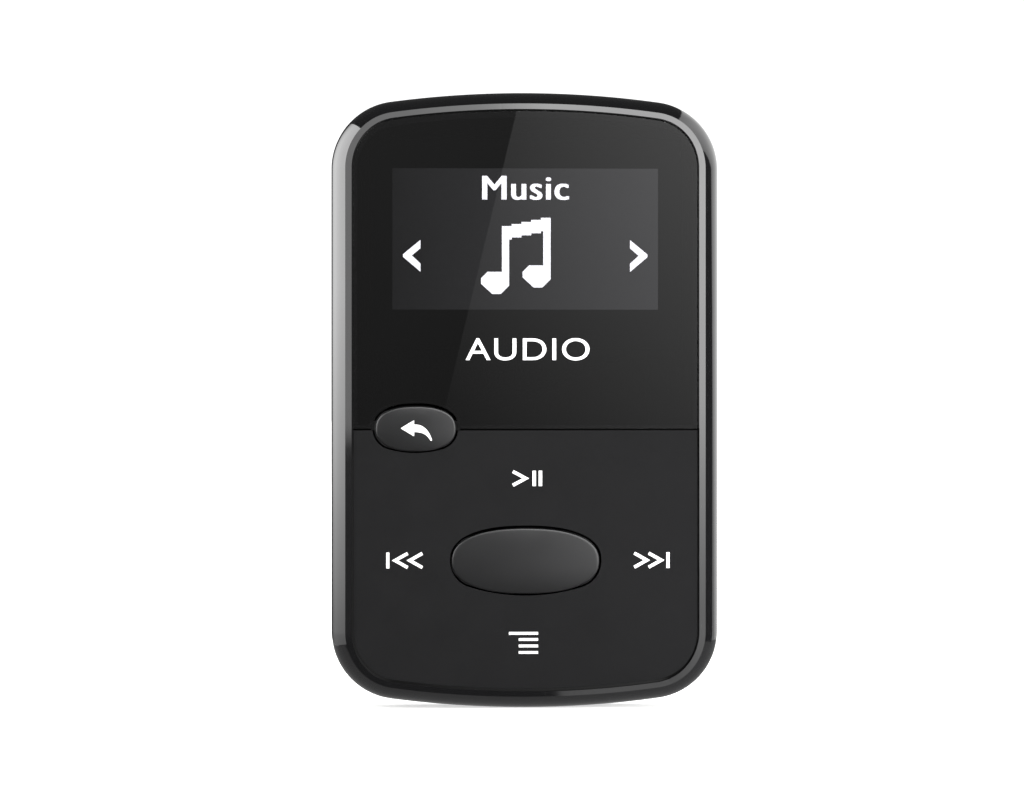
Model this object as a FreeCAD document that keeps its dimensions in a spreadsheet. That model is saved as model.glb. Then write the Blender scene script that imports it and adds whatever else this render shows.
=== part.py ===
"""Clip-on digital audio player, modelled as the assembly that it is.

Units are millimetres.  Each piece is drawn lying on its back: x to the right across the face,
y up along the face from its middle, z out of the face from the back of the housing.  Every body's
Placement then stands it upright, facing -Y, with the origin on the housing's back under the jaw
of the clip.
"""

import FreeCAD
import Part
import math
import os
import re
import Sketcher
from FreeCAD import Placement, Rotation, Vector

# Driving dimensions: alias, value, what it is.
SIZES = [
    ("case_width", 42.0, "housing, side to side"),
    ("case_height", 66.8, "housing, end to end"),
    ("case_depth", 9.6, "housing, back face to the top of the rim"),
    ("end_radius", 108.0, "arch of the top and bottom ends"),
    ("corner_radius", 7.4, "plan corners of the housing"),
    ("seam_level", 3.0, "joint between rear cover and front frame"),
    ("rear_round", 2.5, "round of the back edge"),
    ("wall_thickness", 1.3, "side wall of the front frame"),
    ("floor_thickness", 1.2, "back wall of the rear cover"),
    ("lip_height", 0.6, "tongue of the rear cover above the seam"),
    ("lip_thickness", 0.7, "tongue of the rear cover, width"),
    ("fit_gap", 0.05, "close fit between pieces that seat in each other"),
    ("recess_inset", 2.25, "outline to the edge of the face recess"),
    ("land_width", 0.8, "bright land around the face recess"),
    ("land_drop", 0.28, "slope of that land"),
    ("facet_drop", 2.1, "height of the outer facet of the rim"),
    ("facet_round", 1.8, "round between facet and side wall"),
    ("plate_sink", 0.25, "face plates below the rim"),
    ("plate_gap", 0.15, "gap around a face plate"),
    ("split_drop", 3.15, "split between lens and pad, below the middle"),
    ("lens_thickness", 1.2, "smoked lens"),
    ("adhesive_thickness", 0.15, "black bonding frame under the lens"),
    ("adhesive_inset", 0.35, "bonding frame inside the lens edge"),
    ("ledge_rise", 0.4, "lens ledge above the deck under the pad"),
    ("pad_thickness", 1.0, "control pad plate"),
    ("component_room", 0.9, "board to deck"),
    ("board_thickness", 0.8, "main board"),
    ("board_gap", 0.35, "board edge to the tongue"),
    ("panel_width", 31.5, "display glass"),
    ("panel_height", 20.5, "display glass"),
    ("panel_rise", 16.8, "middle of the display above the middle of the face"),
    ("panel_clearance", 0.2, "display to the edge of its window"),
    ("panel_shim", 0.1, "display to what is above and below it"),
    ("holder_rim", 2.0, "display holder, width of its rim"),
    ("holder_notch", 1.75, "corners of the holder, cut back for the screw bosses"),
    ("select_width", 16.0, "middle key"),
    ("select_height", 7.1, "middle key"),
    ("select_tip", 2.75, "end arcs of the middle key"),
    ("select_drop", 17.4, "middle key below the middle of the face"),
    ("return_width", 8.85, "back key"),
    ("return_height", 4.85, "back key"),
    ("return_tip", 2.1, "end arcs of the back key"),
    ("return_left", 11.94, "back key left of the middle"),
    ("return_drop", 3.1, "back key below the middle"),
    ("key_gap", 0.2, "gap around a key"),
    ("key_crown", 0.35, "key tops above the face plates"),
    ("key_round", 0.7, "round of the key tops"),
    ("press_travel", 0.3, "travel of a push key"),
    ("stem_radius", 1.2, "push stems under keys and pad"),
    ("stem_clearance", 0.35, "stem to its hole in the deck"),
    ("dome_radius", 2.0, "snap domes"),
    ("dome_base", 0.15, "contact land under a dome"),
    ("dome_rise", 0.45, "height of a dome"),
    ("dome_sheet", 0.12, "metal of a dome"),
    ("reach_across", 13.35, "pad contacts left and right of its middle"),
    ("reach_along", 8.85, "pad contacts above and below its middle"),
    ("select_leg_reach", 5.5, "snap legs of the middle key from its middle"),
    ("return_leg_reach", 3.0, "snap legs of the back key from its middle"),
    ("pad_leg_across", 9.5, "snap legs of the pad from its middle"),
    ("pad_leg_along", 8.0, "snap legs of the pad from its middle"),
    ("leg_width", 1.6, "snap legs, along the face"),
    ("leg_depth", 0.7, "snap legs, across the face"),
    ("leg_clearance", 0.2, "leg to its slot in the deck"),
    ("hook_reach", 0.4, "hook of a snap leg"),
    ("hook_height", 0.25, "hook of a snap leg"),
    ("hook_slack", 0.3, "hook to the deck"),
    ("ring_thickness", 0.25, "rocker ring plate"),
    ("ring_margin", 0.6, "middle key to the rocker ring"),
    ("ring_width", 1.8, "rocker ring, width of its band"),
    ("rib_gap", 0.05, "rocker rib to what it rocks on"),
    ("display_flex_width", 11.0, "display flex"),
    ("flex_thickness", 0.15, "display flex"),
    ("flex_lap", 3.0, "flex bonded under the glass"),
    ("flex_foot", 0.6, "slope of the flex starts this far inside the glass"),
    ("flex_drop_run", 1.4, "slope of the flex"),
    ("flex_tail", 1.6, "flex inside its connector"),
    ("flex_level", 0.35, "flex above the board"),
    ("connector_width", 13.0, "flex connector"),
    ("connector_depth", 2.4, "flex connector"),
    ("connector_height", 0.75, "flex connector"),
    ("chip_thickness", 0.7, "processor and memory packages"),
    ("processor_side", 6.5, "processor"),
    ("memory_width", 10.0, "memory"),
    ("memory_height", 12.0, "memory"),
    ("battery_width", 30.0, "cell"),
    ("battery_height", 34.0, "cell"),
    ("battery_drop", 6.0, "middle of the cell below the middle of the face"),
    ("battery_thickness", 3.2, "cell"),
    ("battery_headroom", 0.35, "cell to the board"),
    ("battery_round", 1.0, "folded long edges of the pouch"),
    ("tape_thickness", 0.15, "tape under the cell"),
    ("tape_margin", 3.0, "tape inside the cell's edge"),
    ("guard_width", 24.0, "protection board on the cell's end"),
    ("guard_depth", 3.2, "protection board"),
    ("guard_thickness", 0.8, "protection board"),
    ("lead_radius", 0.35, "battery lead over its insulation"),
    ("lead_bend", 0.8, "bend radius of a battery lead"),
    ("lead_spacing", 1.6, "between the two battery leads"),
    ("jack_height", 20.0, "headphone socket above the middle"),
    ("jack_bore", 1.8, "radius of the plug bore"),
    ("jack_depth", 14.0, "depth of the plug bore"),
    ("jack_shim", 0.15, "socket above the rear cover's floor"),
    ("jack_wall", 0.35, "plastic above and below the bore"),
    ("jack_cheek", 1.2, "plastic beside the bore"),
    ("jack_end", 0.5, "plastic behind the bore"),
    ("jack_nose", 3.0, "length of the round nose"),
    ("nose_radius", 2.25, "round nose of the socket"),
    ("port_gap", 0.1, "socket to its opening in the case"),
    ("port_sink", 0.1, "socket mouths below the side wall"),
    ("pin_thickness", 0.2, "soldered contacts"),
    ("pin_width", 1.2, "soldered contacts"),
    ("usb_height", 14.0, "charging socket above the middle"),
    ("usb_width", 7.5, "charging socket shell"),
    ("usb_thickness", 2.5, "charging socket shell"),
    ("usb_depth", 5.4, "charging socket shell"),
    ("usb_wall", 0.25, "charging socket shell metal"),
    ("usb_slant", 0.8, "slanted lower corners of the shell"),
    ("tongue_width", 4.6, "charging socket tongue"),
    ("tongue_thickness", 0.6, "charging socket tongue"),
    ("tongue_back", 0.8, "insulator behind the tongue"),
    ("tongue_sink", 1.0, "tongue behind the socket's mouth"),
    ("side_key_sink", 0.08, "side keys below the wall"),
    ("volume_rise", 2.0, "volume rocker above the middle"),
    ("volume_length", 13.0, "volume rocker"),
    ("volume_thickness", 2.2, "volume rocker"),
    ("volume_reach", 4.5, "volume contacts from the rocker's middle"),
    ("power_length", 7.0, "power key"),
    ("power_thickness", 2.0, "power key"),
    ("side_gap", 0.18, "gap around a side key"),
    ("flange_margin", 0.6, "retaining flange beyond a side key"),
    ("flange_thickness", 0.45, "retaining flange"),
    ("rocker_swing_room", 0.3, "rocker flange to the wall"),
    ("pivot_radius", 0.4, "pivot pins of the volume rocker"),
    ("pivot_clearance", 0.05, "pivot pin in its hole"),
    ("pivot_length", 0.4, "pivot pins of the volume rocker"),
    ("lug_width", 2.2, "pivot lugs"),
    ("switch_width", 3.4, "side switches"),
    ("switch_depth", 1.7, "side switches"),
    ("switch_height", 1.6, "side switches below the board"),
    ("plunger_width", 1.4, "side switch plungers"),
    ("plunger_height", 0.7, "side switch plungers"),
    ("plunger_length", 0.5, "side switch plungers"),
    ("boss_gap", 0.25, "screw boss to the tongue"),
    ("screw_radius", 0.7, "case screw thread"),
    ("screw_clearance", 0.1, "case screw in the rear cover"),
    ("screw_length", 4.6, "case screw under its head"),
    ("head_radius", 1.35, "case screw head"),
    ("head_height", 0.5, "case screw head"),
    ("head_sink", 0.15, "case screw head below the back"),
    ("head_gap", 0.1, "case screw head to its counterbore"),
    ("cross_length", 1.7, "cross recess"),
    ("cross_width", 0.3, "cross recess"),
    ("cross_depth", 0.3, "cross recess"),
    ("boss_radius", 1.7, "screw bosses"),
    ("hinge_rise", 7.0, "clip hinge above the middle"),
    ("hinge_standoff", 2.3, "clip hinge behind the back"),
    ("ear_radius", 1.5, "hinge ears on the rear cover"),
    ("ear_width", 1.7, "hinge ears"),
    ("clip_width", 14.0, "clip lever"),
    ("ear_room", 0.4, "hinge ear to the clip's inner face"),
    ("clip_thickness", 1.4, "clip lever"),
    ("thumb_end", 24.0, "thumb end of the clip above the middle"),
    ("jaw_line", 20.5, "grip line of the jaw below the middle"),
    ("jaw_length", 5.0, "flat of the jaw"),
    ("jaw_slope", 4.5, "run of the slope down to the jaw"),
    ("jaw_lift", 0.95, "jaw flat behind the back"),
    ("jaw_tip", 1.0, "thickness of the jaw's tip"),
    ("clip_corner", 3.0, "plan corners of the clip"),
    ("clip_edge", 0.45, "round of the clip's outer edge"),
    ("thumb_groove_spacing", 1.7, "grip grooves of the thumb end"),
    ("thumb_groove_radius", 0.4, "grip grooves of the thumb end"),
    ("grip_thickness", 0.55, "rubber of the jaw, without its ridges"),
    ("grip_ridge", 0.3, "ridges of the jaw rubber"),
    ("grip_margin", 0.4, "rubber inside the jaw flat"),
    ("hinge_pin_radius", 0.75, "clip hinge pin"),
    ("hinge_clearance", 0.05, "pin in the clip's knuckles"),
    ("knuckle_radius", 1.4, "knuckles of the clip"),
    ("knuckle_width", 2.5, "knuckles of the clip"),
    ("knuckle_gap", 0.2, "knuckle to the ear beside it"),
    ("spring_radius", 1.2, "torsion spring, middle of its wire"),
    ("spring_wire", 0.22, "torsion spring wire radius"),
    ("spring_turns", 6.5, "torsion spring, a whole number and a half"),
    ("spring_pitch_ratio", 1.1, "coil pitch over wire diameter"),
    ("spring_leg", 7.0, "torsion spring legs"),
    ("spring_rest_width", 1.2, "ribs under the spring legs"),
]

# Places worked out from the driving dimensions: alias, formula, what it is.
PLACES = [
    ("half_width", "case_width / 2", "housing"),
    ("half_height", "case_height / 2", "housing"),
    ("corner_across", "half_width - corner_radius", "centre of a plan corner"),
    ("arch_center", "half_height - end_radius", "centre of the top arch"),
    ("corner_along", "arch_center + sqrt((end_radius - corner_radius)^2 - corner_across^2)",
     "centre of a plan corner, where its arc meets the arch"),
    ("facet_top", "case_depth - land_drop", "crisp edge of the rim"),
    ("facet_bottom", "facet_top - facet_drop", "facet meets the side wall"),
    ("facet_inset", "recess_inset - land_width", "crisp edge of the rim"),
    ("plate_inset", "recess_inset + plate_gap", "edge of the face plates"),
    ("plate_top", "case_depth - plate_sink", "top of the face plates"),
    ("lens_bottom", "plate_top - lens_thickness", "underside of the lens"),
    ("ledge_level", "lens_bottom - adhesive_thickness", "ledge that carries the lens"),
    ("deck_top", "ledge_level - ledge_rise", "deck under the pad"),
    ("pad_bottom", "plate_top - pad_thickness", "underside of the pad"),
    ("cell_bottom", "floor_thickness + tape_thickness", "cell"),
    ("cell_top", "cell_bottom + battery_thickness", "cell"),
    ("board_bottom", "cell_top + battery_headroom", "main board"),
    ("board_top", "board_bottom + board_thickness", "main board"),
    ("deck_bottom", "board_top + component_room", "deck, thick enough to meet the face's stack"),
    ("lip_inset", "wall_thickness + fit_gap", "outside of the tongue"),
    ("cavity_inset", "lip_inset + lip_thickness", "inside of the rear cover"),
    ("lip_top", "seam_level + lip_height", "top of the tongue"),
    ("board_inset", "cavity_inset + board_gap", "edge of the board"),
    ("lens_edge", "-split_drop + plate_gap / 2", "lower edge of the lens"),
    ("pad_edge", "-split_drop - plate_gap / 2", "upper edge of the pad"),
    ("panel_top", "ledge_level - panel_shim", "front of the display glass"),
    ("panel_bottom", "deck_bottom + panel_shim", "back of the display glass"),
    ("key_bottom", "deck_top + press_travel + fit_gap", "underside of a key"),
    ("key_top", "plate_top + key_crown", "top of a key"),
    ("dome_top", "board_top + dome_base + dome_rise", "top of a snap dome"),
    ("stem_bottom", "dome_top + fit_gap", "end of a push stem"),
    ("stem_hole", "stem_radius + stem_clearance", "radius of a stem's hole"),
    ("ring_space", "(pad_bottom - deck_top - ring_thickness) / 2", "air above or below the ring"),
    ("ring_bottom", "deck_top + ring_space", "rocker ring"),
    ("rib_radius", "(ring_space + ring_thickness - rib_gap) / 2 - fit_gap / 4", "rocker ribs"),
    ("across_axis", "deck_top + rib_gap + rib_radius", "level of the up and down tilt axis"),
    ("along_axis", "pad_bottom - rib_gap - rib_radius", "level of the left and right tilt axis"),
    ("cell_end", "battery_height / 2 - battery_drop", "upper end of the cell"),
    ("guard_level", "(cell_bottom + cell_top - guard_thickness) / 2", "protection board"),
    ("guard_end", "cell_end + guard_depth", "protection board"),
    ("jack_level", "floor_thickness + jack_shim + jack_wall + jack_bore", "axis of the plug bore"),
    ("jack_mouth", "half_width - port_sink", "mouth of the headphone socket"),
    ("jack_shoulder", "jack_mouth - jack_nose", "front of the socket's body"),
    ("jack_rear", "jack_mouth - jack_depth - jack_end", "back of the socket's body"),
    ("jack_side", "jack_bore + jack_cheek", "half the socket's body"),
    ("usb_bottom", "board_bottom - usb_thickness", "charging socket"),
    ("usb_mouth", "half_width - port_sink", "mouth of the charging socket"),
    ("usb_rear", "usb_mouth - usb_depth", "back of the charging socket"),
    ("volume_pivot", "half_width - wall_thickness - rocker_swing_room - flange_thickness / 2",
     "rocker's axis, right of the middle"),
    ("volume_face", "half_width - side_key_sink", "outer face of the rocker"),
    ("side_key_level", "lip_top + fit_gap * 4 + volume_thickness / 2", "middle of the side keys"),
    ("flange_bottom", "side_key_level - volume_thickness / 2 - fit_gap * 2", "rocker flange"),
    ("flange_top", "side_key_level + volume_thickness / 2 + fit_gap * 2", "rocker flange"),
    ("plunger_middle", "flange_bottom + plunger_height / 2 + fit_gap * 2", "side plungers"),
    ("volume_contact", "volume_pivot - flange_thickness", "inner ends of the rocker's nubs"),
    ("power_face", "half_height - side_key_sink", "outer face of the power key"),
    ("power_flange", "half_height - wall_thickness - fit_gap * 3", "outer face of its flange"),
    ("power_contact", "power_flange - flange_thickness * 2", "inner end of its nub"),
    ("screw_reach", "corner_radius - cavity_inset - boss_radius - boss_gap",
     "case screws, from the middle of a plan corner"),
    ("screw_across", "corner_across + screw_reach / sqrt(2)", "case screws"),
    ("screw_along", "corner_along + screw_reach / sqrt(2)", "case screws"),
    ("head_level", "head_sink + head_height", "under the screw heads"),
    ("clip_standoff", "hinge_standoff + ear_radius + ear_room", "inner face of the clip"),
    ("clip_outer", "clip_standoff + clip_thickness", "outer face of the clip"),
    ("ear_outer", "clip_width / 2", "outside of a hinge ear"),
    ("ear_inner", "ear_outer - ear_width", "inside of a hinge ear"),
    ("knuckle_outer", "ear_inner - knuckle_gap", "outside of a knuckle"),
    ("knuckle_inner", "knuckle_outer - knuckle_width", "inside of a knuckle"),
    ("coil_pitch", "spring_wire * 2 * spring_pitch_ratio", "torsion spring"),
    ("coil_half", "coil_pitch * spring_turns / 2", "half the length of the coil"),
    ("jaw_inner_end", "-jaw_line + jaw_length / 2", "jaw flat, hinge side"),
    ("jaw_outer_end", "-jaw_line - jaw_length / 2", "jaw flat, tip"),
]

KEYS = ("return", "select")

doc = FreeCAD.newDocument("audio_player")
sizes = doc.addObject("Spreadsheet::Sheet", "Sizes")
places = doc.addObject("Spreadsheet::Sheet", "Places")
HOME = {name: "Sizes" for name, value, meaning in SIZES}
HOME.update({name: "Places" for name, formula, meaning in PLACES})
WORD = re.compile(r"\b[a-z]+(?:_[a-z]+)+\b")
parts_made = []


def linked(formula):
    """The formula with each name pointing into the sheet that holds it."""
    return WORD.sub(lambda word: HOME[word.group()] + "." + word.group(), str(formula))


def value(formula):
    """Number that a formula of sheet names comes to."""
    return float(places.evalExpression(linked(formula)))


def fill_sheets():
    """Driving dimensions as plain numbers, then the places worked out from them."""
    for row, (name, number, meaning) in enumerate(SIZES, 1):
        sizes.set("A%d" % row, meaning)
        sizes.set("B%d" % row, str(number))
        sizes.setAlias("B%d" % row, name)
    doc.recompute()
    for row, (name, formula, meaning) in enumerate(PLACES, 1):
        places.set("A%d" % row, meaning)
        places.set("B%d" % row, "=" + linked(formula))
        places.setAlias("B%d" % row, name)
    doc.recompute()


# --- bodies, sketches and features -------------------------------------------------------------

def new_body(name):
    """Body of one sub-part, stood upright over the grip line of the jaw."""
    body = doc.addObject("PartDesign::Body", name)
    body.Label = name
    body.Placement = Placement(Vector(0, 0, value("jaw_line")), Rotation(Vector(1, 0, 0), 90))
    body.setExpression("Placement.Base.z", linked("jaw_line"))
    parts_made.append(body)
    return body


def new_sketch(body, name, plane, level):
    """Sketch on an origin plane of its own body, lifted to a level along that plane's normal."""
    sketch = body.newObject("Sketcher::SketchObject", name)
    home = [item for item in body.Origin.OriginFeatures if item.Role == plane + "_Plane"][0]
    sketch.AttachmentSupport = (home, [""])
    sketch.MapMode = "FlatFace"
    sketch.setExpression("AttachmentOffset.Base.z", linked(level))
    return sketch


def extrude(body, name, plane, low, high, draw, cut=False):
    """Pad or pocket of a drawn sketch between two levels of its plane's axis.

    The XZ plane's normal is -Y, so its levels change sign.  A pocket runs against the normal.
    """
    start = high if cut else low
    if plane == "XZ":
        start = "-(%s)" % (low if cut else high)
    sketch = new_sketch(body, name + "_sketch", plane, start)
    draw(sketch)
    feature = body.newObject("PartDesign::" + ("Pocket" if cut else "Pad"), name)
    feature.Profile = sketch
    feature.setExpression("Length", linked("(%s) - (%s)" % (high, low)))
    doc.recompute()
    if cut:
        before = feature.BaseFeature.Shape.Volume
        if feature.Shape.Volume > before - 1e-6:
            raise RuntimeError("%s of %s cuts nothing" % (name, body.Label))
    return feature


def bind(sketch, kind, where, formula):
    """Dimension of a sketch, bound to the sheets."""
    index = sketch.addConstraint(Sketcher.Constraint(kind, *where, value(formula)))
    sketch.setExpression("Constraints[%d]" % index, linked(formula))


def pin_point(sketch, item, point, across, along):
    """Hold a point of a sketch at a place measured from its origin."""
    bind(sketch, "DistanceX", (-1, 1, item, point), across)
    bind(sketch, "DistanceY", (-1, 1, item, point), along)


def add_line(sketch, start, end):
    """Line between two places."""
    return sketch.addGeometry(Part.LineSegment(Vector(*start, 0), Vector(*end, 0)), False)


def add_arc(sketch, center, radius, first, last):
    """Arc, anticlockwise from its first angle to its last."""
    circle = Part.Circle(Vector(*center, 0), Vector(0, 0, 1), radius)
    return sketch.addGeometry(Part.ArcOfCircle(circle, first, last), False)


def circle(sketch, across, along, radius):
    """Circle about a place."""
    center = Vector(value(across), value(along), 0)
    item = sketch.addGeometry(Part.Circle(center, Vector(0, 0, 1), value(radius)), False)
    pin_point(sketch, item, 3, across, along)
    bind(sketch, "Radius", (item,), radius)


def polygon(sketch, corners):
    """Closed straight-sided shape through corners given as formulas."""
    spots = [(value(across), value(along)) for across, along in corners]
    count = len(corners)
    items = [add_line(sketch, spots[turn], spots[(turn + 1) % count]) for turn in range(count)]
    for turn, item in enumerate(items):
        following = items[(turn + 1) % count]
        sketch.addConstraint(Sketcher.Constraint("Coincident", item, 2, following, 1))
        pin_point(sketch, item, 1, *corners[turn])


def rectangle(sketch, left, right, low, high):
    """Upright rectangle between four places."""
    polygon(sketch, [(left, low), (right, low), (right, high), (left, high)])


def box_at(sketch, across, along, width, height):
    """Upright rectangle about its middle."""
    rectangle(sketch, "%s - (%s) / 2" % (across, width), "%s + (%s) / 2" % (across, width),
              "%s - (%s) / 2" % (along, height), "%s + (%s) / 2" % (along, height))


def join_smoothly(sketch, items, sharp=()):
    """Join each item to the next, tangent except after the items listed as sharp."""
    for turn, item in enumerate(items):
        kind = "Coincident" if item in sharp else "Tangent"
        following = items[(turn + 1) % len(items)]
        sketch.addConstraint(Sketcher.Constraint(kind, item, 2, following, 1))


def case_outline(sketch, inset):
    """Plan of the housing: straight sides, round corners and gently arched ends, set in evenly."""
    side = value("half_width - (%s)" % inset)
    corner = value("corner_radius - (%s)" % inset)
    arch = value("end_radius - (%s)" % inset)
    across, along, center = value("corner_across"), value("corner_along"), value("arch_center")
    lean = math.atan2(along - center, across)
    half = math.pi
    items = [
        add_line(sketch, (side, -along), (side, along)),
        add_arc(sketch, (across, along), corner, 0, lean),
        add_arc(sketch, (0, center), arch, lean, half - lean),
        add_arc(sketch, (-across, along), corner, half - lean, half),
        add_line(sketch, (-side, along), (-side, -along)),
        add_arc(sketch, (-across, -along), corner, half, half + lean),
        add_arc(sketch, (0, -center), arch, half + lean, 2 * half - lean),
        add_arc(sketch, (across, -along), corner, 2 * half - lean, 2 * half),
    ]
    join_smoothly(sketch, items)
    for item, sign in ((items[0], ""), (items[4], "-")):
        sketch.addConstraint(Sketcher.Constraint("Vertical", item))
        bind(sketch, "DistanceX", (-1, 1, item, 1), "%s(half_width - (%s))" % (sign, inset))
    for item in (items[1], items[3], items[5], items[7]):
        bind(sketch, "Radius", (item,), "corner_radius - (%s)" % inset)
    for item, sign in ((items[2], ""), (items[6], "-")):
        bind(sketch, "Radius", (item,), "end_radius - (%s)" % inset)
        pin_point(sketch, item, 3, "0", sign + "arch_center")


def plate_outline(sketch, inset, edge, upper):
    """One end of the housing's plan, set in evenly and closed by a straight edge across it."""
    sign = 1 if upper else -1
    turn = 0 if upper else math.pi
    side = value("half_width - (%s)" % inset)
    corner = value("corner_radius - (%s)" % inset)
    arch = value("end_radius - (%s)" % inset)
    across, along, center = value("corner_across"), value("corner_along"), value("arch_center")
    lean = math.atan2(along - center, across)
    level = value(edge) * sign

    def turned(x, y):
        return sign * x, sign * y

    items = [
        add_line(sketch, turned(side, level), turned(side, along)),
        add_arc(sketch, turned(across, along), corner, turn, turn + lean),
        add_arc(sketch, turned(0, center), arch, turn + lean, turn + math.pi - lean),
        add_arc(sketch, turned(-across, along), corner, turn + math.pi - lean, turn + math.pi),
        add_line(sketch, turned(-side, along), turned(-side, level)),
        add_line(sketch, turned(-side, level), turned(side, level)),
    ]
    join_smoothly(sketch, items, sharp=(items[4], items[5]))
    for item, swap in ((items[0], sign), (items[4], -sign)):
        sketch.addConstraint(Sketcher.Constraint("Vertical", item))
        bind(sketch, "DistanceX", (-1, 1, item, 1), "%d * (half_width - (%s))" % (swap, inset))
    for point in (1, 2):
        bind(sketch, "DistanceY", (-1, 1, items[5], point), edge)
    for item in (items[1], items[3]):
        bind(sketch, "Radius", (item,), "corner_radius - (%s)" % inset)
    bind(sketch, "Radius", (items[2],), "end_radius - (%s)" % inset)
    pin_point(sketch, items[2], 3, "0", "%d * arch_center" % sign)


def key_place(key):
    """Middle of a face key."""
    return ("-return_left", "-return_drop") if key == "return" else ("0", "-select_drop")


def key_oval(sketch, key, grow="0"):
    """Plan of a face key, grown evenly: two small end arcs and two long flat arcs between them.

    With half width a, half height b and end radius r, the long arcs that touch the end arcs
    smoothly have the radius ((a - r)^2 + b^2 - r^2) / (2 (b - r)).
    """
    middle_x, middle_y = key_place(key)
    tip = "%s_tip" % key
    reach = "(%s_width / 2 - %s)" % (key, tip)
    rise = "(%s_height / 2)" % key
    flat = "((%s^2 + %s^2 - %s^2) / (2 * (%s - %s)))" % (reach, rise, tip, rise, tip)
    x, y, run = value(middle_x), value(middle_y), value(reach)
    small, large = value(tip + " + " + grow), value(flat + " + " + grow)
    drop = value(flat + " - " + rise)
    lean = math.atan2(drop, run)
    half = math.pi
    items = [
        add_arc(sketch, (x + run, y), small, -lean, lean),
        add_arc(sketch, (x, y - drop), large, lean, half - lean),
        add_arc(sketch, (x - run, y), small, half - lean, half + lean),
        add_arc(sketch, (x, y + drop), large, half + lean, 2 * half - lean),
    ]
    join_smoothly(sketch, items)
    pin_point(sketch, items[0], 3, "%s + %s" % (middle_x, reach), middle_y)
    pin_point(sketch, items[2], 3, "%s - %s" % (middle_x, reach), middle_y)
    for item, radius in zip(items, (tip, flat, tip, flat)):
        bind(sketch, "Radius", (item,), radius + " + " + grow)


def stadium(sketch, across, along, length, thickness, upright=False):
    """Slot shape with round ends, lying along the sketch's first axis or its second."""
    radius = "(%s) / 2" % thickness
    reach = "(%s) / 2 - %s" % (length, radius)
    x, y, run, end = value(across), value(along), value(reach), value(radius)
    quarter = math.pi / 2
    lean = quarter if upright else 0
    step = (0, run) if upright else (run, 0)
    edge = (-end, 0) if upright else (0, end)
    far, near = (x + step[0], y + step[1]), (x - step[0], y - step[1])
    items = [
        add_arc(sketch, far, end, lean - quarter, lean + quarter),
        add_line(sketch, (far[0] + edge[0], far[1] + edge[1]), (near[0] + edge[0], near[1] + edge[1])),
        add_arc(sketch, near, end, lean + quarter, lean + 3 * quarter),
        add_line(sketch, (near[0] - edge[0], near[1] - edge[1]), (far[0] - edge[0], far[1] - edge[1])),
    ]
    join_smoothly(sketch, items)
    for item, sign in ((items[0], "+"), (items[2], "-")):
        shifted = "(%s) %s (%s)" % (along if upright else across, sign, reach)
        spot = (across, shifted) if upright else (shifted, along)
        pin_point(sketch, item, 3, *spot)
        bind(sketch, "Radius", (item,), radius)


def round_edges(body, name, radius, wanted):
    """Fillet of the tip's edges that a test picks out."""
    base = body.Tip
    names = ["Edge%d" % (index + 1) for index, edge in enumerate(base.Shape.Edges) if wanted(edge)]
    if not names:
        raise RuntimeError("%s of %s finds no edge" % (name, body.Label))
    feature = body.newObject("PartDesign::Fillet", name)
    feature.Base = (base, names)
    feature.setExpression("Radius", linked(radius))
    doc.recompute()
    return feature


def lies_at(axis, level):
    """Test for edges that lie wholly at one level of an axis."""
    target = value(level)

    def test(edge):
        box = edge.BoundBox
        low, high = getattr(box, axis + "Min"), getattr(box, axis + "Max")
        return abs(low - target) < 1e-4 and abs(high - target) < 1e-4
    return test


def runs_along(axis, places_wanted):
    """Test for edges parallel to an axis that stand at one of the places given."""
    others = [name for name in "XYZ" if name != axis]
    targets = [(value(first), value(second)) for first, second in places_wanted]

    def test(edge):
        box = edge.BoundBox
        spans = [getattr(box, name + "Length") for name in others]
        spot = [getattr(box.Center, name.lower()) for name in others]
        if max(spans) > 1e-4:
            return False
        return any(math.hypot(spot[0] - x, spot[1] - y) < 1e-3 for x, y in targets)
    return test


def screw_places():
    """The four case screws."""
    return [(sx + "screw_across", sy + "screw_along") for sx in ("", "-") for sy in ("", "-")]


def pad_stem_places():
    """Push stems of the control pad: up, down, left and right of its middle."""
    return [("0", "-select_drop + reach_along"), ("0", "-select_drop - reach_along"),
            ("-reach_across", "-select_drop"), ("reach_across", "-select_drop")]


def leg_places(owner):
    """Snap legs as middle, hook direction: two on a key, four on the pad."""
    if owner == "pad":
        return [("%spad_leg_across" % sx, "-select_drop %s pad_leg_along" % sy, sx or "+")
                for sx in ("", "-") for sy in ("+", "-")]
    middle_x, middle_y = key_place(owner)
    return [("%s %s %s_leg_reach" % (middle_x, sx, owner), middle_y, sx) for sx in ("+", "-")]


def draw_each(shape, places_wanted, *sizes_wanted):
    """Drawing that repeats one shape at every place."""
    def draw(sketch):
        for across, along in places_wanted:
            shape(sketch, across, along, *sizes_wanted)
    return draw


# --- housing -----------------------------------------------------------------------------------

def cut_side_openings(body):
    """Openings of the sockets and side keys through a shell's wall."""
    inner = "half_width - cavity_inset - fit_gap"
    extrude(body, "jack_opening", "YZ", inner, "half_width + fit_gap",
            lambda sketch: circle(sketch, "jack_height", "jack_level", "nose_radius + port_gap"), True)
    extrude(body, "usb_opening", "YZ", "-half_width - fit_gap", "-(%s)" % inner,
            lambda sketch: rectangle(sketch, "usb_height - usb_width / 2 - port_gap",
                                     "usb_height + usb_width / 2 + port_gap",
                                     "usb_bottom - port_gap", "board_bottom + port_gap"), True)


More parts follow.
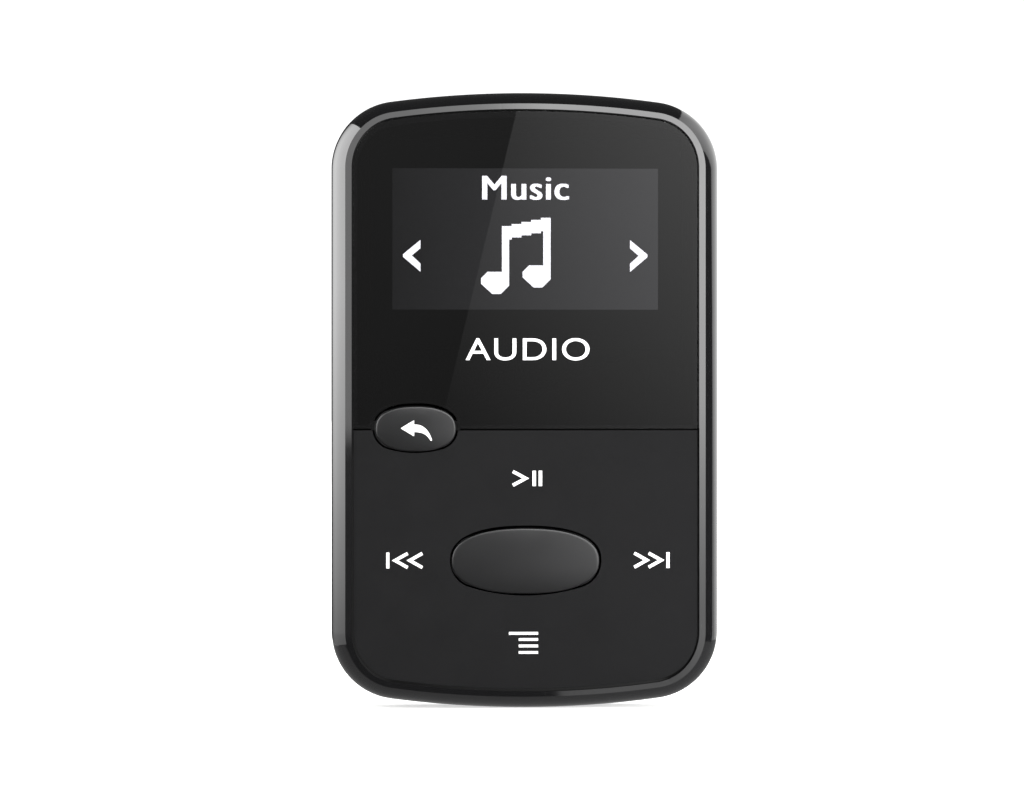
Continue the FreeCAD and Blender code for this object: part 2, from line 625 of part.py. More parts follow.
def make_rear_cover():
    """Tub with a tongue into the front frame, screw wells, pivot lug and the clip's hinge ears."""
    body = new_body("rear_cover")
    extrude(body, "shell", "XY", "0", "seam_level", lambda sketch: case_outline(sketch, "0"))
    round_edges(body, "back_round", "rear_round", lies_at("Z", "0"))
    extrude(body, "tongue", "XY", "floor_thickness", "lip_top",
            lambda sketch: case_outline(sketch, "lip_inset"))
    extrude(body, "cavity", "XY", "floor_thickness", "lip_top",
            lambda sketch: case_outline(sketch, "cavity_inset"), True)
    extrude(body, "screw_bosses", "XY", "floor_thickness", "seam_level",
            draw_each(circle, screw_places(), "boss_radius"))
    extrude(body, "pivot_lug", "XY", "floor_thickness", "lip_top",
            lambda sketch: rectangle(sketch, "volume_pivot - lug_width / 2", "half_width - lip_inset",
                                     "volume_rise - lug_width / 2", "volume_rise + lug_width / 2"))
    ears = [(sign, "ear_inner" if sign > 0 else "-ear_outer", "ear_outer" if sign > 0 else "-ear_inner")
            for sign in (1, -1)]
    for sign, low, high in ears:
        side = "right" if sign > 0 else "left"
        extrude(body, side + "_ear_root", "YZ", low, high,
                lambda sketch: rectangle(sketch, "hinge_rise - ear_radius", "hinge_rise + ear_radius",
                                         "-hinge_standoff", "floor_thickness / 2"))
        extrude(body, side + "_ear", "YZ", low, high,
                lambda sketch: circle(sketch, "hinge_rise", "-hinge_standoff", "ear_radius"))
    extrude(body, "spring_rest", "XY", "spring_radius + spring_wire - hinge_standoff",
            "floor_thickness / 2",
            lambda sketch: box_at(sketch, "-coil_half", "hinge_rise + spring_leg - spring_rest_width / 2",
                                  "spring_rest_width", "spring_rest_width"))
    extrude(body, "pin_holes", "YZ", "-ear_outer - fit_gap", "ear_outer + fit_gap",
            lambda sketch: circle(sketch, "hinge_rise", "-hinge_standoff", "hinge_pin_radius"), True)
    extrude(body, "screw_holes", "XY", "-fit_gap", "seam_level + fit_gap",
            draw_each(circle, screw_places(), "screw_radius + screw_clearance"), True)
    extrude(body, "screw_wells", "XY", "-fit_gap", "head_level",
            draw_each(circle, screw_places(), "head_radius + head_gap"), True)
    extrude(body, "pivot_hole", "XY", "lip_top - pivot_length - fit_gap * 2", "lip_top + fit_gap",
            lambda sketch: circle(sketch, "volume_pivot", "volume_rise",
                                  "pivot_radius + pivot_clearance"), True)
    cut_side_openings(body)
    return body


def make_front_frame():
    """Frame with the bright land, the outer facet, the face recess and the decks inside it."""
    body = new_body("front_bezel")
    extrude(body, "wall", "XY", "seam_level", "facet_bottom", lambda sketch: case_outline(sketch, "0"))
    levels = [("0", "facet_bottom"), ("facet_inset", "facet_top"), ("recess_inset", "case_depth")]
    for step, name in enumerate(("facet", "land")):
        rims = []
        for rank, (inset, level) in enumerate(levels[step:step + 2]):
            sketch = new_sketch(body, "%s_rim_%d" % (name, rank), "XY", level)
            case_outline(sketch, inset)
            rims.append(sketch)
        loft = body.newObject("PartDesign::AdditiveLoft", name)
        loft.Profile = rims[0]
        loft.Sections = rims[1:]
        loft.Ruled = True
        doc.recompute()
    round_edges(body, "facet_foot", "facet_round", lies_at("Z", "facet_bottom"))
    extrude(body, "inside", "XY", "seam_level", "deck_bottom",
            lambda sketch: case_outline(sketch, "wall_thickness"), True)
    extrude(body, "face_recess", "XY", "ledge_level", "case_depth + fit_gap",
            lambda sketch: case_outline(sketch, "recess_inset"), True)
    extrude(body, "pad_recess", "XY", "deck_top", "case_depth",
            lambda sketch: plate_outline(sketch, "recess_inset", "-split_drop", False), True)
    extrude(body, "display_window", "XY", "deck_bottom", "case_depth",
            lambda sketch: box_at(sketch, "0", "panel_rise", "panel_width + panel_clearance * 2",
                                  "panel_height + panel_clearance * 2"), True)
    extrude(body, "return_pocket", "XY", "deck_top", "case_depth",
            lambda sketch: key_oval(sketch, "return", "key_gap"), True)
    stems = pad_stem_places() + [key_place(key) for key in KEYS]
    extrude(body, "stem_holes", "XY", "deck_bottom", "case_depth",
            draw_each(circle, stems, "stem_hole"), True)
    for owner in KEYS + ("pad",):
        def draw_slots(sketch):
            for across, along, outward in leg_places(owner):
                middle = "%s %s hook_reach / 2" % (across, outward)
                box_at(sketch, middle, along, "leg_depth + hook_reach + leg_clearance * 2",
                       "leg_width + leg_clearance * 2")
        extrude(body, owner + "_leg_slots", "XY", "deck_bottom", "case_depth", draw_slots, True)
    extrude(body, "screw_bosses", "XY", "seam_level", "deck_bottom",
            draw_each(circle, screw_places(), "boss_radius"))
    extrude(body, "pivot_lug", "XY", "flange_top + fit_gap", "deck_bottom",
            lambda sketch: rectangle(sketch, "volume_pivot - lug_width / 2", "half_width - wall_thickness",
                                     "volume_rise - lug_width / 2", "volume_rise + lug_width / 2"))
    extrude(body, "screw_holes", "XY", "seam_level", "deck_bottom - wall_thickness / 2",
            draw_each(circle, screw_places(), "screw_radius"), True)
    extrude(body, "pivot_hole", "XY", "flange_top", "flange_top + pivot_length + fit_gap * 2",
            lambda sketch: circle(sketch, "volume_pivot", "volume_rise",
                                  "pivot_radius + pivot_clearance"), True)
    cut_side_openings(body)
    extrude(body, "volume_slot", "YZ", "half_width - wall_thickness - fit_gap", "half_width + fit_gap",
            lambda sketch: stadium(sketch, "volume_rise", "side_key_level",
                                   "volume_length + side_gap * 2",
                                   "volume_thickness + side_gap * 2"), True)
    extrude(body, "power_slot", "XZ", "half_height - wall_thickness - fit_gap * 2",
            "half_height + fit_gap",
            lambda sketch: stadium(sketch, "0", "side_key_level", "power_length + side_gap * 2",
                                   "power_thickness + side_gap * 2"), True)
    return body


def make_case_screws():
    """Four case screws as one group: head in the rear cover, thread up into the front frame."""
    body = new_body("case_screws")
    extrude(body, "heads", "XY", "head_sink", "head_level",
            draw_each(circle, screw_places(), "head_radius"))
    extrude(body, "threads", "XY", "head_level", "head_level + screw_length",
            draw_each(circle, screw_places(), "screw_radius"))
    for name, width, height in (("slot_across", "cross_length", "cross_width"),
                                ("slot_along", "cross_width", "cross_length")):
        extrude(body, name, "XY", "head_sink - fit_gap", "head_sink + cross_depth",
                draw_each(box_at, screw_places(), width, height), True)
    return body


# --- face --------------------------------------------------------------------------------------

def make_lens():
    """Smoked lens over the upper face, notched around the back key."""
    body = new_body("display_lens")
    extrude(body, "plate", "XY", "lens_bottom", "plate_top",
            lambda sketch: plate_outline(sketch, "plate_inset", "lens_edge", True))
    extrude(body, "key_notch", "XY", "lens_bottom", "plate_top",
            lambda sketch: key_oval(sketch, "return", "key_gap"), True)
    return body


def make_adhesive():
    """Black bonding frame between the lens and its ledge."""
    body = new_body("lens_adhesive")
    extrude(body, "sheet", "XY", "ledge_level", "lens_bottom",
            lambda sketch: plate_outline(sketch, "plate_inset + adhesive_inset",
                                         "lens_edge + adhesive_inset", True))
    extrude(body, "opening", "XY", "ledge_level", "lens_bottom",
            lambda sketch: box_at(sketch, "0", "panel_rise", "panel_width + panel_clearance * 2",
                                  "panel_height + panel_clearance * 2"), True)
    extrude(body, "key_notch", "XY", "ledge_level", "lens_bottom",
            lambda sketch: key_oval(sketch, "return", "key_gap + adhesive_inset"), True)
    return body


def add_legs(body, owner, root, slack="hook_slack"):
    """Snap legs down through the deck, with hooks that catch under it."""
    top = "deck_bottom - %s" % slack
    foot = "deck_bottom - %s - hook_height" % slack
    legs = leg_places(owner)

    def draw_legs(sketch):
        for across, along, outward in legs:
            box_at(sketch, across, along, "leg_depth", "leg_width")

    def draw_hooks(sketch):
        for across, along, outward in legs:
            middle = "%s %s hook_reach / 2" % (across, outward)
            box_at(sketch, middle, along, "leg_depth + hook_reach", "leg_width")

    extrude(body, "legs", "XY", foot, root, draw_legs)
    extrude(body, "hooks", "XY", foot, top, draw_hooks)


def make_control_pad():
    """Rocking plate with four push stems, open in the middle and notched around the back key."""
    body = new_body("control_pad")
    extrude(body, "plate", "XY", "pad_bottom", "plate_top",
            lambda sketch: plate_outline(sketch, "plate_inset", "pad_edge", False))
    extrude(body, "middle_opening", "XY", "pad_bottom", "plate_top",
            lambda sketch: key_oval(sketch, "select", "key_gap"), True)
    extrude(body, "key_notch", "XY", "pad_bottom", "plate_top",
            lambda sketch: key_oval(sketch, "return", "key_gap"), True)
    extrude(body, "stems", "XY", "stem_bottom", "pad_bottom",
            draw_each(circle, pad_stem_places(), "stem_radius"))
    add_legs(body, "pad", "pad_bottom")
    return body


def make_rocker_ring():
    """Gimbal ring around the middle key: ribs below it rock up and down, ribs above left and right."""
    body = new_body("rocker_ring")
    extrude(body, "band", "XY", "ring_bottom", "ring_bottom + ring_thickness",
            lambda sketch: key_oval(sketch, "select", "ring_margin + ring_width"))
    for name, half, plane, middle, spot in (
            ("across", "select_width / 2", "YZ", "0", ("-select_drop", "across_axis")),
            ("along", "select_height / 2", "XZ", "-select_drop", ("0", "along_axis"))):
        inner = "(%s + ring_margin)" % half
        outer = "(%s + ring_width - fit_gap)" % inner
        extrude(body, name + "_rib_one", plane, "%s + %s" % (middle, inner),
                "%s + %s" % (middle, outer), lambda sketch: circle(sketch, *spot, "rib_radius"))
        extrude(body, name + "_rib_two", plane, "%s - %s" % (middle, outer),
                "%s - %s" % (middle, inner), lambda sketch: circle(sketch, *spot, "rib_radius"))
    extrude(body, "opening", "XY", "deck_top", "pad_bottom",
            lambda sketch: key_oval(sketch, "select", "ring_margin"), True)
    return body


def make_face_key(key, name):
    """Push key of the face: rounded cap, push stem and two snap legs."""
    body = new_body(name)
    extrude(body, "cap", "XY", "key_bottom", "key_top", lambda sketch: key_oval(sketch, key))
    round_edges(body, "crown", "key_round", lies_at("Z", "key_top"))
    extrude(body, "stem", "XY", "stem_bottom", "key_bottom",
            lambda sketch: circle(sketch, *key_place(key), "stem_radius"))
    add_legs(body, key, "key_bottom", "fit_gap * 2")
    return body


# --- display and board -------------------------------------------------------------------------

def make_display_panel():
    """Display glass in the window of the frame."""
    body = new_body("display_panel")
    extrude(body, "glass", "XY", "panel_bottom", "panel_top",
            lambda sketch: box_at(sketch, "0", "panel_rise", "panel_width", "panel_height"))
    return body


def make_display_holder():
    """U-shaped plastic frame on the board that carries the display, open towards the keys."""
    body = new_body("display_holder")
    extrude(body, "frame", "XY", "board_top", "panel_bottom",
            lambda sketch: box_at(sketch, "0", "panel_rise", "panel_width", "panel_height"))
    extrude(body, "opening", "XY", "board_top", "panel_bottom",
            lambda sketch: rectangle(sketch, "holder_rim - panel_width / 2", "panel_width / 2 - holder_rim",
                                     "panel_rise - panel_height / 2 - fit_gap",
                                     "panel_rise + panel_height / 2 - holder_rim"), True)
    corners = [(sign + "(panel_width - holder_notch) / 2", "panel_rise + (panel_height - holder_notch) / 2")
               for sign in ("", "-")]
    extrude(body, "corner_notches", "XY", "board_top", "panel_bottom",
            draw_each(box_at, corners, "holder_notch", "holder_notch"), True)
    return body


def make_display_flex():
    """Thin flex from under the glass down a slope and into the connector on the board."""
    body = new_body("display_flex")
    edge = "panel_rise - panel_height / 2"
    high, low = "panel_bottom", "board_top + flex_level"
    stops = [("%s + flex_lap" % edge, high), ("%s + flex_foot" % edge, high),
             ("%s + flex_foot - flex_drop_run" % edge, low + " + flex_thickness"),
             ("%s + flex_foot - flex_drop_run - flex_tail" % edge, low + " + flex_thickness")]
    under = [(across, "%s - flex_thickness" % along) for across, along in reversed(stops)]
    extrude(body, "strip", "YZ", "-display_flex_width / 2", "display_flex_width / 2",
            lambda sketch: polygon(sketch, stops + under))
    return body


def make_flex_connector():
    """Connector on the board with a slot for the flex."""
    body = new_body("flex_connector")
    edge = "panel_rise - panel_height / 2 + flex_foot - flex_drop_run"
    extrude(body, "block", "XY", "board_top", "board_top + connector_height",
            lambda sketch: rectangle(sketch, "-connector_width / 2", "connector_width / 2",
                                     "%s - connector_depth" % edge, edge))
    extrude(body, "slot", "XZ", "%s - flex_tail" % edge, edge,
            lambda sketch: rectangle(sketch, "-display_flex_width / 2 - fit_gap",
                                     "display_flex_width / 2 + fit_gap", "board_top + flex_level",
                                     "board_top + flex_level + flex_thickness"), True)
    return body


def make_main_board():
    """Board between the shells, cut out for the screw bosses and the headphone socket."""
    body = new_body("main_board")
    extrude(body, "board", "XY", "board_bottom", "board_top",
            lambda sketch: case_outline(sketch, "board_inset"))
    extrude(body, "boss_clearance", "XY", "board_bottom", "board_top",
            draw_each(circle, screw_places(), "boss_radius + key_gap"), True)
    extrude(body, "jack_notch", "XY", "board_bottom", "board_top",
            lambda sketch: rectangle(sketch, "jack_rear - key_gap", "half_width",
                                     "jack_height - jack_side - pin_thickness",
                                     "jack_height + jack_side + pin_thickness"), True)
    return body


def make_board_chip(name, left, low, width, height, thickness):
    """Chip on the face side of the board."""
    body = new_body(name)
    extrude(body, "package", "XY", "board_top", "board_top + %s" % thickness,
            lambda sketch: rectangle(sketch, left, "%s + %s" % (left, width),
                                     low, "%s + %s" % (low, height)))
    return body


def make_domes(name, spots):
    """Snap domes on the board: a contact land with a thin pressed dome over it.

    A dome of rim radius c and rise s is part of a ball of radius (c^2 + s^2) / (2 s).
    """
    body = new_body(name)
    extrude(body, "lands", "XY", "board_top", "board_top + dome_base",
            draw_each(circle, spots, "dome_radius"))
    ball = "((dome_radius^2 + dome_rise^2) / (2 * dome_rise))"
    middle = "(dome_top - %s)" % ball
    outer, inner = value(ball), value(ball + " - dome_sheet")
    base, center = value("board_top + dome_base"), value(middle)
    rim = value("dome_radius")
    foot = math.sqrt(inner ** 2 - (base - center) ** 2)
    top, quarter = value("dome_top"), math.pi / 2
    for rank, (across, along) in enumerate(spots):
        sketch = new_sketch(body, "dome_profile_%d" % rank, "XZ", "-(%s)" % along)
        sketch.setExpression("AttachmentOffset.Base.x", linked(across))
        doc.recompute()
        crest = add_line(sketch, (0, top - value("dome_sheet")), (0, top))
        skin = add_arc(sketch, (0, center), outer, math.acos(rim / outer), quarter)
        sole = add_line(sketch, (foot, base), (rim, base))
        lining = add_arc(sketch, (0, center), inner, math.acos(foot / inner), quarter)
        for joint in ((crest, 2, skin, 2), (skin, 1, sole, 2), (sole, 1, lining, 1), (lining, 2, crest, 1)):
            sketch.addConstraint(Sketcher.Constraint("Coincident", *joint))
        sketch.addConstraint(Sketcher.Constraint("Horizontal", sole))
        pin_point(sketch, skin, 3, "0", middle)
        pin_point(sketch, lining, 3, "0", middle)
        pin_point(sketch, crest, 2, "0", "dome_top")
        pin_point(sketch, crest, 1, "0", "dome_top - dome_sheet")
        bind(sketch, "DistanceY", (-1, 1, sole, 1), "board_top + dome_base")
        turn = body.newObject("PartDesign::Revolution", "dome_%d" % rank)
        turn.Profile = sketch
        turn.ReferenceAxis = (sketch, ["V_Axis"])
        turn.Angle = 360
        doc.recompute()
    return body


# --- power -------------------------------------------------------------------------------------

def make_battery_tape():
    """Tape that holds the cell to the rear cover."""
    body = new_body("battery_tape")
    extrude(body, "strip", "XY", "floor_thickness", "cell_bottom",
            lambda sketch: box_at(sketch, "0", "-battery_drop", "battery_width - tape_margin * 2",
                                  "battery_height - tape_margin * 2"))
    return body


def make_battery():
    """Pouch cell with rounded long edges."""
    body = new_body("battery")
    extrude(body, "cell", "XY", "cell_bottom", "cell_top",
            lambda sketch: box_at(sketch, "0", "-battery_drop", "battery_width", "battery_height"))
    edges = [(sign + "battery_width / 2", level) for sign in ("", "-")
             for level in ("cell_bottom", "cell_top")]
    round_edges(body, "folds", "battery_round", runs_along("Y", edges))
    return body


def make_guard_board():
    """Protection board on the end of the cell."""
    body = new_body("battery_guard_board")
    extrude(body, "board", "XY", "guard_level", "guard_level + guard_thickness",
            lambda sketch: rectangle(sketch, "-guard_width / 2", "guard_width / 2",
                                     "cell_end", "guard_end"))
    return body


def make_battery_lead(name, sign):
    """Insulated lead from the protection board, bent up to the underside of the main board."""
    body = new_body(name)
    across = "%slead_spacing / 2" % sign
    level = "guard_level + guard_thickness / 2"
    straight = "guard_end + lead_bend"
    path = new_sketch(body, "route", "YZ", across)
    bend = value("lead_bend")
    start = (value("guard_end"), value(level))
    turn = (value(straight), value(level) + bend)
    foot = add_line(path, start, (turn[0], start[1]))
    elbow = add_arc(path, turn, bend, -math.pi / 2, 0)
    rise = add_line(path, (turn[0] + bend, turn[1]), (turn[0] + bend, value("board_bottom")))
    path.addConstraint(Sketcher.Constraint("Tangent", foot, 2, elbow, 1))
    path.addConstraint(Sketcher.Constraint("Tangent", elbow, 2, rise, 1))
    pin_point(path, foot, 1, "guard_end", level)
    pin_point(path, elbow, 3, straight, level + " + lead_bend")
    bind(path, "Radius", (elbow,), "lead_bend")
    bind(path, "DistanceY", (-1, 1, rise, 2), "board_bottom")
    section = new_sketch(body, "section", "XZ", "-guard_end")
    circle(section, across, level, "lead_radius")
    pipe = body.newObject("PartDesign::AdditivePipe", "lead")
    pipe.Profile = section
    pipe.Spine = (path, ["Edge1", "Edge2", "Edge3"])
    doc.recompute()
    length = value("lead_bend") * (1 + math.pi / 2) + value("board_bottom") - turn[1]
    wanted = math.pi * value("lead_radius") ** 2 * length
    if abs(body.Shape.Volume - wanted) > 0.02 * wanted:
        raise RuntimeError("%s has volume %.3f, not %.3f" % (name, body.Shape.Volume, wanted))
    return body


# --- sockets -----------------------------------------------------------------------------------

def make_headphone_jack():
    """Socket body with a round nose in the side wall and a blind plug bore."""
    body = new_body("headphone_jack")
    extrude(body, "block", "YZ", "jack_rear", "jack_shoulder",
            lambda sketch: box_at(sketch, "jack_height", "jack_level", "jack_side * 2",
                                  "(jack_bore + jack_wall) * 2"))
    extrude(body, "nose", "YZ", "jack_shoulder", "jack_mouth",
            lambda sketch: circle(sketch, "jack_height", "jack_level", "nose_radius"))
    extrude(body, "bore", "YZ", "jack_mouth - jack_depth", "jack_mouth + fit_gap",
            lambda sketch: circle(sketch, "jack_height", "jack_level", "jack_bore"), True)
    return body


def make_jack_contacts():
    """Six soldered contacts along the cheeks of the socket."""
    body = new_body("jack_contacts")
    spots = []
    for part in (1, 3, 5):
        across = "jack_rear + (jack_shoulder - jack_rear) * %d / 6" % part
        for sign in ("+", "-"):
            spots.append((across, "jack_height %s (jack_side + pin_thickness / 2)" % sign))
    extrude(body, "pins", "XY", "jack_level - jack_bore / 2", "board_top - fit_gap",
            draw_each(box_at, spots, "pin_width", "pin_thickness"))
    return body


def usb_profile(sketch, shrink):
    """Section of the charging socket: a flat box with slanted lower corners."""
    half = "(usb_width / 2 - (%s))" % shrink
    low, high = "usb_bottom + %s" % shrink, "board_bottom - (%s)" % shrink
    slant = "(usb_slant - (%s) / 2)" % shrink
    polygon(sketch, [("usb_height - " + half, high), ("usb_height - " + half, low + " + " + slant),
                     ("usb_height - %s + %s" % (half, slant), low),
                     ("usb_height + %s - %s" % (half, slant), low),
                     ("usb_height + " + half, low + " + " + slant), ("usb_height + " + half, high)])


def make_usb_shell():
    """Formed metal shell of the charging socket, open at both ends."""
    body = new_body("usb_shell")
    extrude(body, "tube", "YZ", "-usb_mouth", "-usb_rear", lambda sketch: usb_profile(sketch, "0"))
    extrude(body, "inside", "YZ", "-usb_mouth - fit_gap", "-usb_rear + fit_gap",
            lambda sketch: usb_profile(sketch, "usb_wall"), True)
    return body


def make_usb_tongue():
    """Insulator that closes the back of the shell and carries the contact tongue."""
    body = new_body("usb_tongue")
    extrude(body, "back", "YZ", "-usb_rear - tongue_back", "-usb_rear",
            lambda sketch: usb_profile(sketch, "usb_wall"))
    extrude(body, "tongue", "YZ", "tongue_sink - usb_mouth", "-usb_rear - tongue_back",
            lambda sketch: box_at(sketch, "usb_height", "(usb_bottom + board_bottom) / 2",
                                  "tongue_width", "tongue_thickness"))
    return body


# --- side keys ---------------------------------------------------------------------------------

def make_volume_rocker():
    """Rocker in the side wall: round-ended key, flange, two nubs and a pivot pin at each side."""
    body = new_body("volume_rocker")
    extrude(body, "flange", "YZ", "volume_pivot - flange_thickness / 2",
            "volume_pivot + flange_thickness / 2",
            lambda sketch: rectangle(sketch, "volume_rise - volume_length / 2 - flange_margin",
                                     "volume_rise + volume_length / 2 + flange_margin",
                                     "flange_bottom", "flange_top"))
    extrude(body, "key", "YZ", "volume_pivot", "volume_face",
            lambda sketch: stadium(sketch, "volume_rise", "side_key_level", "volume_length",
                                   "volume_thickness"))
    nubs = [("volume_rise %s volume_reach" % sign, "plunger_middle") for sign in ("+", "-")]
    extrude(body, "nubs", "YZ", "volume_contact", "volume_pivot",
            draw_each(box_at, nubs, "plunger_width", "plunger_height"))
    extrude(body, "pivots", "XY", "flange_bottom - pivot_length", "flange_top + pivot_length",
            lambda sketch: circle(sketch, "volume_pivot", "volume_rise", "pivot_radius"))
    return body


def make_power_button():
    """Push key in the top wall with a retaining flange and a nub."""
    body = new_body("power_button")
    extrude(body, "flange", "XZ", "power_flange - flange_thickness", "power_flange",
            lambda sketch: rectangle(sketch, "-power_length / 2 - flange_margin",
                                     "power_length / 2 + flange_margin", "flange_bottom", "flange_top"))
    extrude(body, "key", "XZ", "power_flange - flange_thickness / 2", "power_face",
            lambda sketch: stadium(sketch, "0", "side_key_level", "power_length", "power_thickness"))
    extrude(body, "nub", "XZ", "power_contact", "power_flange - flange_thickness / 2",
            lambda sketch: box_at(sketch, "0", "plunger_middle", "plunger_width", "plunger_height"))
    return body


def switch_blocks(body, spots, across, along):
    """Switch bodies hanging from the underside of the board."""
    extrude(body, "blocks", "XY", "board_bottom - switch_height", "board_bottom",
            draw_each(box_at, spots, across, along))


def volume_switch_places(setback):
    """Middles of what stands behind the rocker's two nubs, a distance in from their ends."""
    return [("volume_contact - (%s)" % setback, "volume_rise %s volume_reach" % sign)
            for sign in ("+", "-")]


def make_volume_switches():
    """Two side switches under the rocker's nubs."""
    body = new_body("volume_switches")
    spots = volume_switch_places("fit_gap + plunger_length + switch_depth / 2")
    switch_blocks(body, spots, "switch_depth", "switch_width")
    return body


def make_volume_plungers():
    """Rubber plungers of the two volume switches."""
    body = new_body("volume_plungers")
    extrude(body, "tips", "XY", "plunger_middle - plunger_height / 2",
            "plunger_middle + plunger_height / 2",
            draw_each(box_at, volume_switch_places("fit_gap + plunger_length / 2"),
                      "plunger_length", "plunger_width"))
    return body


def make_power_switch():
    """Side switch under the power key's nub."""
    body = new_body("power_switch")
    spots = [("0", "power_contact - fit_gap - plunger_length - switch_depth / 2")]
    switch_blocks(body, spots, "switch_width", "switch_depth")
    return body


def make_power_plunger():
    """Rubber plunger of the power switch."""
    body = new_body("power_plunger")
    extrude(body, "tip", "XY", "plunger_middle - plunger_height / 2",
            "plunger_middle + plunger_height / 2",
            lambda sketch: box_at(sketch, "0", "power_contact - fit_gap - plunger_length / 2",
                                  "plunger_width", "plunger_length"))
    return body


# --- clip --------------------------------------------------------------------------------------

def make_clip_lever():
    """Moulded lever: thumb end, flat back, jaw bent in to the housing, and two hinge knuckles."""
    body = new_body("clip_lever")
    slope_top = "jaw_inner_end + jaw_slope"
    profile = [("thumb_end", "-clip_outer"), ("thumb_end", "-clip_standoff"),
               (slope_top, "-clip_standoff"), ("jaw_inner_end", "-jaw_lift"),
               ("jaw_outer_end", "-jaw_lift"), ("jaw_outer_end", "-jaw_lift - jaw_tip"),
               (slope_top + " - clip_thickness * 2", "-clip_outer")]
    extrude(body, "plate", "YZ", "-clip_width / 2", "clip_width / 2",
            lambda sketch: polygon(sketch, profile))
    round_edges(body, "outer_bends", "clip_thickness * 2", runs_along("X", [profile[6]]))
    round_edges(body, "inner_bends", "clip_thickness", runs_along("X", [profile[2], profile[3]]))
    side_edges = [(sign + "clip_width / 2", "thumb_end") for sign in ("", "-")]
    side_edges += [(sign + "clip_width / 2", "jaw_outer_end") for sign in ("", "-")]
    round_edges(body, "plan_corners", "clip_corner", runs_along("Z", side_edges))
    round_edges(body, "outer_round", "clip_edge",
                lambda edge: edge.BoundBox.ZMax < value("-clip_outer") + 1e-4)
    for sign in (1, -1):
        low, high = ("knuckle_inner", "knuckle_outer") if sign > 0 else ("-knuckle_outer", "-knuckle_inner")
        side = "right" if sign > 0 else "left"
        extrude(body, side + "_web", "YZ", low, high,
                lambda sketch: rectangle(sketch, "hinge_rise - knuckle_radius",
                                         "hinge_rise + knuckle_radius",
                                         "-clip_standoff - clip_thickness / 2", "-hinge_standoff"))
        extrude(body, side + "_knuckle", "YZ", low, high,
                lambda sketch: circle(sketch, "hinge_rise", "-hinge_standoff", "knuckle_radius"))
    extrude(body, "pin_bore", "YZ", "-clip_width / 2", "clip_width / 2",
            lambda sketch: circle(sketch, "hinge_rise", "-hinge_standoff",
                                  "hinge_pin_radius + hinge_clearance"), True)
    extrude(body, "spring_rest", "XY", "-clip_standoff - clip_thickness / 2",
            "-hinge_standoff - spring_radius - spring_wire - fit_gap",
            lambda sketch: box_at(sketch, "coil_half", "hinge_rise + spring_leg - spring_rest_width / 2",
                                  "spring_rest_width", "spring_rest_width"))
    for rank in range(1, 6):
        extrude(body, "thumb_groove_%d" % rank, "YZ", "clip_corner - clip_width / 2",
                "clip_width / 2 - clip_corner",
                lambda sketch: circle(sketch, "thumb_end - thumb_groove_spacing * %d" % rank,
                                      "-clip_outer", "thumb_groove_radius"), True)
    return body


def make_clip_grip():
    """Rubber of the jaw with three ridges that bite the cloth."""
    body = new_body("clip_grip")
    width, length = "clip_width - clip_corner * 2", "jaw_length - grip_margin * 2"
    extrude(body, "sheet", "XY", "-jaw_lift", "grip_thickness - jaw_lift",
            lambda sketch: box_at(sketch, "0", "-jaw_line", width, length))
    for step in (-1, 0, 1):
        extrude(body, "ridge_%d" % (step + 1), "YZ", "-(%s) / 2" % width, "(%s) / 2" % width,
                lambda sketch: polygon(sketch, [
                    ("-jaw_line + (%d) * jaw_length / 4 - grip_ridge" % step, "grip_thickness - jaw_lift"),
                    ("-jaw_line + (%d) * jaw_length / 4 + grip_ridge" % step, "grip_thickness - jaw_lift"),
                    ("-jaw_line + (%d) * jaw_length / 4" % step,
                     "grip_thickness + grip_ridge - jaw_lift")]))
    return body


def make_clip_pin():
    """Steel pin through the ears and knuckles."""
    body = new_body("clip_pin")
    extrude(body, "pin", "YZ", "-ear_outer", "ear_outer",
            lambda sketch: circle(sketch, "hinge_rise", "-hinge_standoff", "hinge_pin_radius"))
    return body


def make_clip_spring():
    """Torsion spring around the pin: a helix with one leg to the housing and one to the clip."""
    body = new_body("clip_spring")
    section = new_sketch(body, "wire_section", "XZ", "-hinge_rise")
    section.setExpression("AttachmentOffset.Base.y", linked("-hinge_standoff"))
    doc.recompute()
    circle(section, "-coil_half", "spring_radius", "spring_wire")
    coil = body.newObject("PartDesign::AdditiveHelix", "coil")
    coil.Profile = section
    coil.ReferenceAxis = (section, ["H_Axis"])
    coil.Mode = "pitch-turns-angle"
    coil.setExpression("Pitch", linked("coil_pitch"))
    coil.setExpression("Turns", linked("spring_turns"))
    doc.recompute()
    for name, across, level in (("housing_leg", "-coil_half", "spring_radius - hinge_standoff"),
                                ("clip_leg", "coil_half", "-spring_radius - hinge_standoff")):
        extrude(body, name, "XZ", "hinge_rise", "hinge_rise + spring_leg",
                lambda sketch: circle(sketch, across, level, "spring_wire"))
    return body


def check_and_export():
    """Stop on any failed object or bad shape, then write one file for each sub-part."""
    doc.recompute()
    for item in doc.Objects:
        if "Invalid" in item.State or "Error" in item.State:
            raise RuntimeError("%s failed: %s" % (item.Label, item.State))
    for body in parts_made:
        if body.Shape.isNull() or not body.Shape.isValid() or not body.Shape.Solids:
            raise RuntimeError("%s has no sound shape" % body.Label)
    os.makedirs("parts", exist_ok=True)
    for body in parts_made:
        body.Shape.exportStep("parts/%s.step" % body.Label)


